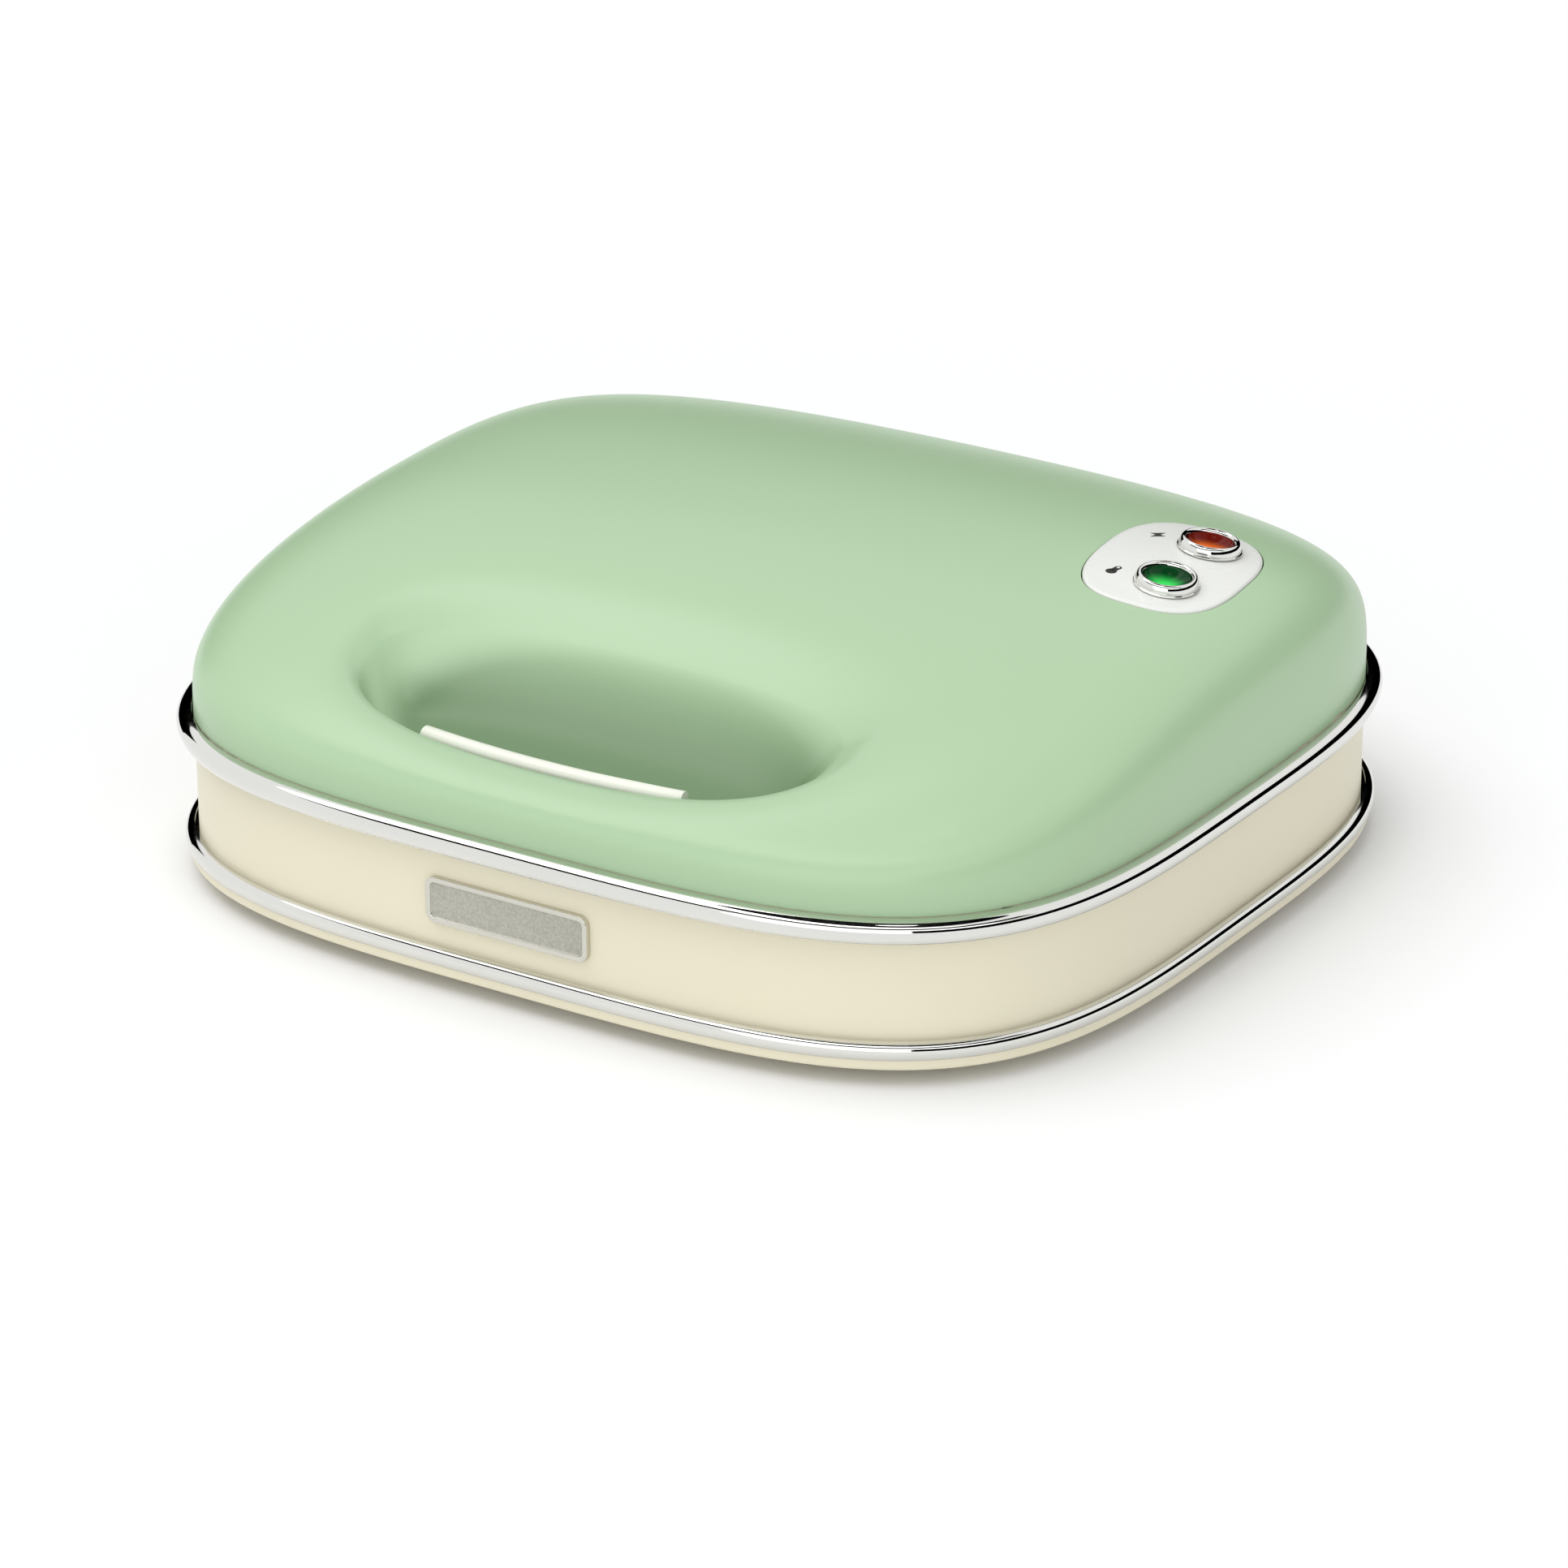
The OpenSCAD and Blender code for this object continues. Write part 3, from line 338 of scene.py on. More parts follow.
def finish(name, colour, change=0.96, patches=14, grain=900, polish=(0.2, 0.3),
           bump=0.1, depth=0.02, stretch=(1, 1, 1), **plain):
    """A material on the uneven surface; plain names sockets of the shader itself."""
    made = bpy.data.materials.new(name)
    made.use_nodes = True
    tree = made.node_tree
    shader = tree.nodes["Principled BSDF"]
    surface = tree.nodes.new("ShaderNodeGroup")
    surface.node_tree = UNEVEN
    values = {"Colour": (*colour, 1), "Second colour": (*nearby(colour, change), 1),
              "Patches": patches, "Grain": grain, "Polished": polish[0], "Dull": polish[1],
              "Stretch": stretch}
    for label, value in values.items():
        surface.inputs[label].default_value = value
    relief = tree.nodes.new("ShaderNodeBump")
    relief.inputs["Strength"].default_value = bump
    relief.inputs["Distance"].default_value = depth * MM
    tree.links.new(surface.outputs["Colour"], shader.inputs["Base Color"])
    tree.links.new(surface.outputs["Roughness"], shader.inputs["Roughness"])
    tree.links.new(surface.outputs["Height"], relief.inputs["Height"])
    tree.links.new(relief.outputs["Normal"], shader.inputs["Normal"])
    for label, value in plain.items():
        label = label.replace("_", " ").title().replace("Ior", "IOR")
        shader.inputs[label].default_value = value
    return made


GREEN_PAINT = finish("green_paint", from_srgb(172, 201, 162), 0.985, 9, 420, (0.28, 0.33),
                     0.01, 0.01)
CREAM = finish("cream_plastic", from_srgb(232, 225, 200), 0.98, 12, 1100, (0.3, 0.4), 0.04, 0.02)
IVORY = finish("lever_ivory", from_srgb(238, 240, 226), 0.98, 40, 1300, (0.25, 0.33), 0.04, 0.02)
CHROME = finish("chrome", from_srgb(226, 226, 222), 0.97, 25, 500, (0.03, 0.07), 0.03, 0.01,
                metallic=1.0)
STEEL = finish("steel", from_srgb(176, 176, 174), 0.85, 20, 700, (0.28, 0.42), 0.15, 0.03,
               (1, 12, 12), metallic=1.0)
SCREW_STEEL = finish("screw_steel", from_srgb(160, 160, 158), 0.8, 300, 2500, (0.22, 0.38),
                     0.1, 0.02, metallic=1.0)
SHEATH = finish("element_sheath", from_srgb(120, 116, 110), 0.7, 120, 1500, (0.4, 0.6), 0.2,
                0.03, metallic=1.0)
COATING = finish("non_stick_coating", from_srgb(46, 46, 48), 0.7, 900, 3200, (0.38, 0.5), 0.3,
                 0.03, specular_ior_level=0.5)
RUBBER = finish("rubber", from_srgb(34, 34, 34), 0.75, 90, 1800, (0.65, 0.8), 0.4, 0.05)
CERAMIC = finish("ceramic", from_srgb(226, 221, 208), 0.9, 250, 2400, (0.6, 0.75), 0.3, 0.04)
BRASS = finish("fuse_metal", from_srgb(196, 168, 104), 0.85, 200, 1800, (0.25, 0.4), 0.1, 0.02,
               metallic=1.0)
WHITE_PLASTIC = finish("lamp_plate_white", from_srgb(232, 233, 228), 0.985, 30, 1500,
                       (0.22, 0.3), 0.06, 0.02)
BADGE_METAL = finish("badge_border", from_srgb(214, 212, 202), 0.95, 60, 900, (0.1, 0.16),
                     0.05, 0.02, metallic=1.0)
INK = finish("symbol_ink", from_srgb(34, 32, 30), 0.8, 700, 2600, (0.45, 0.6), 0.2, 0.02)


# Middle and reach of the finger pocket's painted shade, from above: its height has no part in them
POCKET_MIDDLE, POCKET_REACH = (4 * MM, -86 * MM, 0), (60 * MM, 22.75 * MM, inf)
# Where the painted shade is nothing and full: in reaches from the middle, and in height
SHADE_SIDES, SHADE_HEIGHTS = (1.1, 0.88), (70 * MM, 52 * MM)
# How strong the painted shade gets, and the dark green it paints at full strength
SHADE = 0.85
POCKET_SHADE_GREEN = from_srgb(84, 118, 72)


def paint_pocket_shade(material):
    """Paints shade into the paint's colour, darker towards the bottom of the finger pocket."""
    tree = material.node_tree
    shader, surface = tree.nodes["Principled BSDF"], tree.nodes["Group"]
    away = far_from(tree, POCKET_MIDDLE, POCKET_REACH)
    parts = tree.nodes.new("ShaderNodeSeparateXYZ")
    put(tree, parts.inputs[0], tree.nodes.new("ShaderNodeTexCoord").outputs["Object"])
    shade = maths(tree, "MULTIPLY", ranged(tree, away, *SHADE_SIDES, 0, 1),
                  ranged(tree, parts.outputs["Z"], *SHADE_HEIGHTS, 0, SHADE))
    put(tree, shader.inputs["Base Color"],
        blended(tree, shade, surface.outputs["Colour"], POCKET_SHADE_GREEN))


paint_pocket_shade(GREEN_PAINT)
print("finishes:", len(bpy.data.materials))

# %% [markdown]
# ## Finishes with a pattern of their own
# The badge's field is cast with a coarse grain. The leads wear a braided glass sleeve,
# two crossing sets of waves. A lamp's lens is tinted plastic that glows from below:
# it is deep at its rim and bright low in its hollow, so its colour follows the distance
# from a bright spot a little in front of the lens's axis.

# %% Badge field, sleeve, glass and lenses
BADGE_FIELD = finish("badge_field", from_srgb(190, 189, 178), 0.8, 1500, 2600, (0.42, 0.6),
                     0.9, 0.16, metallic=0.75)
BRAID_TILT, BRAID_SCALE = 40, 420
LENS_GLOW = 0.45
# Where a lens is all rim and all glow, in radii from its bright spot
GLOW_ENDS = (1.0, 0.15)


def braided(name, colour):
    """A sleeve woven from two sets of bands that cross on the slant."""
    made = finish(name, colour, 0.9, 300, 1500, (0.6, 0.75), 0.5, 0.1)
    tree = made.node_tree
    place = tree.nodes.new("ShaderNodeTexCoord").outputs["Object"]
    heights = []
    for tilt in (BRAID_TILT, -BRAID_TILT):
        mapping = tree.nodes.new("ShaderNodeMapping")
        mapping.inputs["Rotation"].default_value = (0, radians(tilt), radians(tilt))
        wave = tree.nodes.new("ShaderNodeTexWave")
        put(tree, wave.inputs["Scale"], BRAID_SCALE)
        put(tree, mapping.inputs["Vector"], place)
        put(tree, wave.inputs["Vector"], mapping.outputs["Vector"])
        heights.append(wave.outputs["Fac"])
    put(tree, tree.nodes["Bump"].inputs["Height"], maths(tree, "MAXIMUM", *heights))
    return made


SLEEVE = braided("braided_sleeve", from_srgb(214, 206, 188))
NEON_GLASS = finish("neon_glass", from_srgb(236, 226, 214), 0.97, 100, 900, (0.03, 0.06), 0.05,
                    0.01, transmission_weight=0.85, ior=1.5)


def lens_material(name, centre, radius, rim, glow):
    """Tinted plastic round a lens's bright spot: rim and glow are its two colours."""
    made = finish(name, rim, 0.9, 400, 1800, (0.12, 0.2), 0.05, 0.02, specular_ior_level=0.1)
    tree = made.node_tree
    shader = tree.nodes["Principled BSDF"]
    near = ranged(tree, far_from(tree, centre, [radius] * 3), *GLOW_ENDS, 0, 1)
    colour = blended(tree, near, rim, glow)
    put(tree, shader.inputs["Base Color"], colour)
    put(tree, shader.inputs["Emission Color"], colour)
    put(tree, shader.inputs["Emission Strength"], LENS_GLOW)
    return made


# %% [markdown]
# ## The outline and the dome
# Seen from above, the casing is a superellipse, squarer than an oval and rounder than
# a rectangle. The lid is a dome over it: a crown that climbs towards the back, falls
# to the front and the back edge, and a steep rounded shoulder all round. Both are
# short formulas, so the smooth skin and the solid below it can't drift apart.

# %% Formulas of the casing, in millimetres about the middle of the outline
upper_ring_low, upper_ring_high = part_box("upper_trim_ring")
LOW_TRIM_INSET = 1.0
HALF_W = upper_ring_high.x / MM
HALF_D = (lower_ring_high.y - lower_ring_low.y) / 2 / MM + LOW_TRIM_INSET
Z_LID = upper_ring_low.z / MM
Z_RIM = upper_ring_high.z / MM
OUTLINE_POWER = 3.6
RIM_INSET = 4.2
DOME_H, DOME_LEAN, FRONT_FALL, BACK_FALL, SIDE_FALL = 41, 6.4, 20, 28, 4.2
FRONT_POWER, BACK_POWER = 1.8, 2.7
TOP_POWER, EDGE_SHARPNESS = 3.4, 8
SHOULDER_POWER, SHOULDER_ROUND = 8.6, 4.2


def at(x, y, z):
    """A point of the casing, from millimetres about its middle to the frame's metres."""
    return Vector((x, y + BODY_Y, z)) * MM


def signed(value, power):
    return (1 if value >= 0 else -1) * abs(value) ** power


def outline(angle, inset):
    """A point on the outline, moved square to it by inset."""
    n, c, s = OUTLINE_POWER, cos(angle), sin(angle)
    radius = ((abs(c) / HALF_W) ** n + (abs(s) / HALF_D) ** n) ** (-1 / n)
    slope = Vector((signed(radius * c / HALF_W, n - 1) / HALF_W,
                    signed(radius * s / HALF_D, n - 1) / HALF_D))
    return Vector((radius * c, radius * s)) - inset * slope.normalized()


def radial(x, y, power):
    across, along = abs(x) / (HALF_W - RIM_INSET), abs(y) / (HALF_D - RIM_INSET)
    return (across ** power + along ** power) ** (1 / power)


def reach(x, y):
    """0 at the middle and 1 at the rim, rounder towards the middle."""
    outer, inner = radial(x, y, OUTLINE_POWER), radial(x, y, TOP_POWER)
    return inner + (outer - inner) * min(outer, 1) ** EDGE_SHARPNESS


def crown(x, y):
    t = y / HALF_D
    fall = BACK_FALL * t ** BACK_POWER if t > 0 else FRONT_FALL * (-t) ** FRONT_POWER
    return DOME_H + DOME_LEAN * t - SIDE_FALL * (x / (HALF_W - RIM_INSET)) ** 2 - fall


def dome(x, y, rim=1, drop=0):
    """Height of the lid without its pocket; drop gives the inner face."""
    share = min(1, reach(x, y) / rim)
    return Z_RIM + (crown(x, y) - drop) * (1 - share ** SHOULDER_POWER) ** (1 / SHOULDER_ROUND)


print("dome: top at", round(max(dome(0, y) for y in range(0, 60)), 1), "mm")

# %% [markdown]
# ## Wrapping a grid
# Most of these shells are one sheet wrapped round the outline. A grid operator makes
# the sheet, each corner is moved to its place, and the seams are merged. That keeps
# every face a quad, which shades smoothly, and a spin couldn't follow this outline.

# %% Helpers for pieces
def wrapped(columns, rows, point):
    """A grid whose corners go to point(column, row), with its seams merged."""
    shape = bmesh.new()
    bmesh.ops.create_grid(shape, x_segments=columns, y_segments=rows, size=1)
    for corner in shape.verts:
        column = round((corner.co.x + 1) / 2 * columns)
        row = round((corner.co.y + 1) / 2 * rows)
        corner.co = point(column, row)
    bmesh.ops.remove_doubles(shape, verts=shape.verts, dist=1e-6)
    bmesh.ops.recalc_face_normals(shape, faces=shape.faces)
    return shape


def add_piece(name, shape, body, slot, material, *replaced, crease=35):
    """Makes the shape an object that rides on a body and takes the nodes' place."""
    for face in shape.faces:
        face.smooth = True
    for edge in shape.edges:
        edge.smooth = edge.is_manifold and edge.calc_face_angle(0) < radians(crease)
    piece = placed(name, to_mesh(name, shape))
    piece.data.materials.append(material)
    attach(piece, body)
    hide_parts(*replaced)
    print("piece:", name, len(piece.data.polygons), "faces")
    return piece


def cut(piece, *cutters):
    """Cuts closed shapes out of a piece, and keeps only the result."""
    for shape in cutters:
        tool = placed("cutter", to_mesh("cutter", shape))
        modifier = piece.modifiers.new("cut", "BOOLEAN")
        modifier.object = tool
        modifier.solver = "EXACT"
        bpy.context.view_layer.update()
        result = bpy.data.meshes.new_from_object(
            piece.evaluated_get(bpy.context.evaluated_depsgraph_get()))
        piece.modifiers.clear()
        old, piece.data = piece.data, result
        result.name = piece.name
        bpy.data.meshes.remove(old)
        bpy.data.objects.remove(tool)


def raised(shape, way):
    """Extrudes all faces of a shape along a way, and gives what has moved."""
    top = bmesh.ops.extrude_face_region(shape, geom=shape.faces[:])["geom"]
    corners = [part for part in top if isinstance(part, bmesh.types.BMVert)]
    bmesh.ops.translate(shape, verts=corners, vec=way)
    return top


# %% [markdown]
# ## The lid's green shell
# The shell is pressed in one piece: the dome runs over the shoulder, rolls softly into
# the finger pocket, and drops to a slot for the lever. At the front the pocket's edge
# is crisp and turned down. The sheet below goes from the rim over the top, down the
# pocket's wall, back under it and out to the rim, so the wall has its real thickness.

# %% Formulas of the pocket
SHELL_WALL = 2.4
POCKET_W, POCKET_D, POCKET_BELLY, LIP_SETBACK, POCKET_POWER = 129, 45.5, 25.5, 16.5, 2.5
SLOT_W, SLOT_D, LIP_TURN, NOSE, SLOT_FLOOR = 80, 7.2, 2.4, 1.4, 7
SINK_BACK, SINK_SIDE, SINK_FRONT, ROLL_LENGTH = 6.5, 4.4, 4.6, 9
EDGE_ROUNDNESS = 8
POCKET_Y = -HALF_D + LIP_SETBACK + POCKET_BELLY
SLOT_Z = Z_RIM + SLOT_FLOOR


def mix(first, second, share):
    return first + (second - first) * share


def lip(angle):
    """The pocket's edge, seen from above."""
    power = 2 / POCKET_POWER
    depth = POCKET_D - POCKET_BELLY if sin(angle) > 0 else POCKET_BELLY
    return Vector((POCKET_W / 2 * signed(cos(angle), power),
                   POCKET_Y + depth * signed(sin(angle), power)))


def lip_front(x):
    inside = max(0, 1 - abs(2 * x / POCKET_W) ** POCKET_POWER)
    return POCKET_Y - POCKET_BELLY * inside ** (1 / POCKET_POWER)


def slot(angle):
    x, s = SLOT_W / 2 * cos(angle), sin(angle)
    return Vector((x, lip_front(x) + NOSE + SLOT_D / 2 * (1 + signed(s, 0.25))))


def slot_z(angle):
    return SLOT_Z + (1 - sin(angle)) * LIP_TURN / 4


def sink(angle):
    s = sin(angle)
    return SINK_SIDE + ((SINK_BACK if s > 0 else SINK_FRONT) - SINK_SIDE) * s * s


def wall_power(angle):
    s = sin(angle)
    if s > 0:
        return mix(2.8, 2.6, s)
    return mix(2.8, 4.5, min(1, -2 * s)) - 2.3 * max(0, -2 * s - 1)


def shell_point(angle, out, inset, drop):
    """Between the pocket's edge, out = 0, and the rim, out = 1."""
    edge, rim = lip(angle), outline(angle, inset)
    spot = mix(edge, rim, out)
    roll = sink(angle) * exp(-(spot - edge).length / ROLL_LENGTH) * (1 - out ** 4)
    return Vector((*spot, dome(*spot, reach(*rim), drop) - roll))


def pocket_point(angle, down, drop):
    """Between the pocket's edge, down = 0, and the slot, down = 1."""
    edge, hole = lip(angle), slot(angle)
    top = shell_point(angle, 0, RIM_INSET, 0)
    near = shell_point(angle, 0.02, RIM_INSET, 0)
    slope = (near.z - top.z) / (near - top).xy.length
    start = slope * (hole - edge).length / (top.z - slot_z(angle))
    power = wall_power(angle)
    fall = 1 - (1 - down) ** power + (start - power) * down * (1 - down) ** EDGE_ROUNDNESS
    return Vector((*mix(edge, hole, down), mix(top.z, slot_z(angle), fall) - drop))


# %% The shell
SHELL_COLUMNS, SHELL_RINGS, POCKET_RINGS, INNER_RINGS = 288, 40, 18, 16


def shell_section(angle):
    """One slice of the shell, from its rim over the top, down to the slot and back."""
    rings = [shell_point(angle, 1 - (k / SHELL_RINGS) ** 2.2, RIM_INSET, 0)
             for k in range(SHELL_RINGS + 1)]
    rings += [pocket_point(angle, (k / POCKET_RINGS) ** 1.3, 0)
              for k in range(1, POCKET_RINGS + 1)]
    rings += [pocket_point(angle, (k / POCKET_RINGS) ** 1.3, SHELL_WALL)
              for k in range(POCKET_RINGS, 1, -1)]
    rings += [shell_point(angle, 1 - (k / INNER_RINGS) ** 2.2, RIM_INSET + SHELL_WALL, SHELL_WALL)
              for k in range(INNER_RINGS, -1, -1)]
    return rings + rings[:1]


def build_shell():
    slices = [shell_section(2 * pi * i / SHELL_COLUMNS) for i in range(SHELL_COLUMNS)]
    shape = wrapped(SHELL_COLUMNS, len(slices[0]) - 1,
                    lambda column, row: at(*slices[column % SHELL_COLUMNS][row]))
    return add_piece("lid_shell_skin", shape, "lid", "green_shell", GREEN_PAINT, "lid_shell")


shell = build_shell()

# %% [markdown]
# ## Standing on the dome
# The lamps and their plate sit square to the dome where they are, and the dome leans
# there. A matrix turns a piece that is made upright at the origin, and moves it up.

# %% A place on the dome
def on_dome(x, y):
    step = 0.5
    along_x = (dome(x + step, y) - dome(x - step, y)) / (2 * step)
    along_y = (dome(x, y + step) - dome(x, y - step)) / (2 * step)
    size = Vector((along_x, along_y, 1)).length
    sideways = Matrix.Rotation(atan2(-along_x, 1), 4, "Y")
    forwards = Matrix.Rotation(asin(along_y / size), 4, "X")
    stand = Matrix.Translation(at(x, y, dome(x, y)))
    return stand @ (sideways @ forwards) @ Matrix.Scale(MM, 4)


LAMP_X, LAMP_Y, LAMP_TURN = 90, 30, radians(6)
LAMP_PLATE_W, LAMP_PLATE_D, LAMP_POWER = 36, 53, 2.7
LAMP_PITCH, LAMP_SHIFT, PLATE_PROUD, PLATE_SKIN, FIT_GAP = 25.4, 3.8, 0.5, 2.6, 0.3


def beside_lamps(across, along):
    """A place on the lamp plate, along its own turned axes."""
    c, s = cos(LAMP_TURN), sin(LAMP_TURN)
    return Vector((LAMP_X + across * c - along * s, LAMP_Y + across * s + along * c))


LAMPS = {"power_lamp": beside_lamps(LAMP_SHIFT, LAMP_PITCH / 2),
         "ready_lamp": beside_lamps(LAMP_SHIFT, -LAMP_PITCH / 2)}


def lamp_edge(angle, share, grow=0):
    """The plate's outline, scaled about its middle and then grown."""
    half_w, half_d = LAMP_PLATE_W / 2 * share + grow, LAMP_PLATE_D / 2 * share + grow
    n, c, s = LAMP_POWER, cos(angle), sin(angle)
    radius = ((abs(c) / half_w) ** n + (abs(s) / half_d) ** n) ** (-1 / n)
    return beside_lamps(radius * c, radius * s)


# %% [markdown]
# ## The lamp plate
# The white plate drops into an opening in the shell, with a hair of gap all round that
# reads as a dark line. Its face follows the dome and stands a little proud, with a
# small rounded edge. The opening and the lamp holes are cut as the real ones are.

# %% Lamp plate and its opening
LAMP_COLUMNS = 120
BODY_R, RUNNING_GAP = 6.1, 0.05
# Share of the plate's size, and height over the dome, from the face to the back
PLATE_RINGS = [(share, PLATE_PROUD) for share in (0.02, 0.2, 0.4, 0.6, 0.75, 0.87, 0.955)]
PLATE_RINGS += [(0.975, PLATE_PROUD - 0.03), (0.99, PLATE_PROUD - 0.14),
                (0.998, PLATE_PROUD - 0.34), (1, 0)]
PLATE_RINGS += [(share, -PLATE_SKIN) for share in (1, 0.8, 0.4, 0.02)]


def lamp_point(column, row):
    share, rise = PLATE_RINGS[row]
    spot = lamp_edge(2 * pi * column / LAMP_COLUMNS, share)
    return at(*spot, dome(*spot) + rise)


def close_ends(shape):
    """Fills the open loops that are left at the poles."""
    edges = [edge for edge in shape.edges if edge.is_boundary]
    bmesh.ops.holes_fill(shape, edges=edges, sides=0)
    bmesh.ops.recalc_face_normals(shape, faces=shape.faces)


def drum(radius, low, high, segments=96):
    """A closed cylinder between two heights, as a cutter."""
    shape = bmesh.new()
    bmesh.ops.create_cone(shape, cap_ends=True, segments=segments, radius1=radius,
                          radius2=radius, depth=high - low)
    bmesh.ops.translate(shape, verts=shape.verts, vec=(0, 0, (low + high) / 2))
    return shape


def moved(shape, matrix):
    bmesh.ops.transform(shape, matrix=matrix, verts=shape.verts)
    return shape


def lamp_opening():
    """A prism a little larger than the plate, through the top of the shell."""
    shape = bmesh.new()
    bmesh.ops.create_circle(shape, cap_ends=True, segments=LAMP_COLUMNS, radius=1)
    for corner in shape.verts:
        spot = lamp_edge(atan2(corner.co.y, corner.co.x), 1, FIT_GAP)
        corner.co = at(*spot, Z_RIM + DOME_H / 3)
    raised(shape, (0, 0, DOME_H * MM))
    bmesh.ops.recalc_face_normals(shape, faces=shape.faces)
    return shape


def build_lamp_plate():
    shape = wrapped(LAMP_COLUMNS, len(PLATE_RINGS) - 1, lamp_point)
    close_ends(shape)
    plate = add_piece("lamp_plate_face", shape, "lid", "lamp_plate_white", WHITE_PLASTIC,
                      "lamp_plate")
    cut(plate, *[moved(drum(BODY_R + RUNNING_GAP, -10, 10), on_dome(*spot))
                 for spot in LAMPS.values()])
    cut(shell, lamp_opening())


build_lamp_plate()

# %% [markdown]
# ## Bezels and lenses
# A bezel is a turned ring, so its section is spun round the lamp's axis: a flat foot,
# a fat rounded crown, and a sleeve that goes down through the plate. The lens inside
# is spun too, and is hollow on top, which is where its glow comes from.

# %% The lamps
BEZEL_R, BEZEL_H, LENS_R, SLEEVE_L = 7.9, 2.8, 5.4, 6
LENS_RISE, LENS_DEPTH, CUP_SHARE, CUP_DEPTH, CUP_STEPS = 2.2, 4, 0.95, 2.1, 12
# The bright spot of a lens, from its foot on the dome
GLOW_SPOT = (0.4, -1.6, 0.6)
SPIN_STEPS = 96


def spun(section):
    """Spins a section, given as radius and height, once round the upright axis."""
    shape = bmesh.new()
    corners = [shape.verts.new((radius, 0, height)) for radius, height in section]
    for first, second in zip(corners, corners[1:]):
        shape.edges.new((first, second))
    bmesh.ops.spin(shape, geom=shape.verts[:] + shape.edges[:], cent=(0, 0, 0), axis=(0, 0, 1),
                   angle=2 * pi, steps=SPIN_STEPS, use_merge=True, use_duplicate=False)
    bmesh.ops.remove_doubles(shape, verts=shape.verts, dist=1e-4)
    bmesh.ops.recalc_face_normals(shape, faces=shape.faces)
    return shape


def bezel_section():
    inner = LENS_R + RUNNING_GAP
    foot = PLATE_PROUD + 0.05
    middle, half = (BEZEL_R - 0.3 + inner) / 2, (BEZEL_R - 0.3 - inner) / 2
    crown_arc = [(middle + half * cos(radians(a)), foot + 0.55 + (BEZEL_H - 0.6) * sin(radians(a)))
                 for a in range(0, 181, 10)]
    closing = [(inner, -SLEEVE_L)]
    return (closing + [(BODY_R, -SLEEVE_L), (BODY_R, foot), (BEZEL_R - 0.15, foot),
                       (BEZEL_R, foot + 0.15), (BEZEL_R, foot + 0.4), (BEZEL_R - 0.12, foot + 0.52)]
            + crown_arc + closing)


def lens_section():
    rim = PLATE_PROUD + LENS_RISE
    shares = [k / CUP_STEPS for k in range(CUP_STEPS, -1, -1)]
    hollow = [(LENS_R * CUP_SHARE * share, rim - 0.2 - CUP_DEPTH * (1 - share ** 2))
              for share in shares]
    return [(0, -LENS_DEPTH), (LENS_R - 0.3, -LENS_DEPTH), (LENS_R, 0.3 - LENS_DEPTH),
            (LENS_R, rim - 0.2), (LENS_R - 0.15, rim)] + hollow


LENS_COLOURS = {"power_lamp": (from_srgb(84, 14, 4), from_srgb(246, 118, 24)),
                "ready_lamp": (from_srgb(3, 50, 20), from_srgb(46, 206, 84))}
LENS_SLOTS = {"power_lamp": "power_lens", "ready_lamp": "ready_lens"}
for lamp, spot in LAMPS.items():
    stand = on_dome(*spot)
    add_piece(f"{lamp}_bezel_ring", moved(spun(bezel_section()), stand), "lid", "chrome_trim",
              CHROME, f"{lamp}_bezel")
    tint = lens_material(f"{lamp}_tint", stand @ Vector(GLOW_SPOT), LENS_R * MM,
                         *LENS_COLOURS[lamp])
    add_piece(f"{lamp}_lens_cup", moved(spun(lens_section()), stand), "lid", LENS_SLOTS[lamp],
              tint, f"{lamp}_lens")

# %% [markdown]
# ## Two small symbols
# A bolt marks the power lamp and a thermometer the ready lamp, printed in black. Each
# is a flat shape from a few corners or a circle, laid on the plate and given the
# thickness of the ink.

# %% Bolt and thermometer
INK_THICKNESS = 0.06
BOLT = [(0.75, 2.4), (-1.9, -0.35), (-0.45, -0.35), (-0.75, -2.4), (1.9, 0.35), (0.45, 0.35)]
SYMBOL_ACROSS = -9.5


def printed(name, shapes, spot, ink=INK, layer=0):
    """Joins flat shapes, gives them the ink's thickness and lays them on the plate."""
    whole = bmesh.new()
    for shape in shapes:
        mesh = to_mesh("part", shape)
        whole.from_mesh(mesh)
        bpy.data.meshes.remove(mesh)
    raised(whole, (0, 0, INK_THICKNESS))
    bmesh.ops.recalc_face_normals(whole, faces=whole.faces)
    lift = Matrix.Translation((0, 0, PLATE_PROUD + (layer - 1 / 3) * INK_THICKNESS))
    add_piece(name, moved(whole, on_dome(*spot) @ lift), "lid", "lamp_plate_white", ink)


def flat_shape(corners):
    shape = bmesh.new()
    shape.faces.new([shape.verts.new((x, y, 0)) for x, y in corners])
    return shape


def disc(radius, x, y):
    shape = bmesh.new()
    bmesh.ops.create_circle(shape, cap_ends=True, segments=32, radius=radius)
    bmesh.ops.translate(shape, verts=shape.verts, vec=(x, y, 0))
    return shape


printed("bolt_symbol", [flat_shape(BOLT)], beside_lamps(SYMBOL_ACROSS, LAMP_PITCH / 2))
below = beside_lamps(SYMBOL_ACROSS, -LAMP_PITCH / 2)
stem = flat_shape([(-1.0, -1.1), (0.6, -1.1), (1.1, 1.5), (-0.6, 1.5)])
printed("thermometer_symbol", [disc(1.35, -0.2, -1.1), stem, disc(0.85, 0.25, 1.5)], below)
printed("thermometer_window", [disc(0.38, 0.25, 1.45)], below, WHITE_PLASTIC, 1)

# %% [markdown]
# ## Rings and band
# The cream band and the lower ring are closed mouldings: one section that is carried
# round the outline. The upper ring stops at the hinge, so it is a sheet from one end
# to the other, closed by a face at each end. Chrome needs fine, even faces, or its
# reflections wobble.

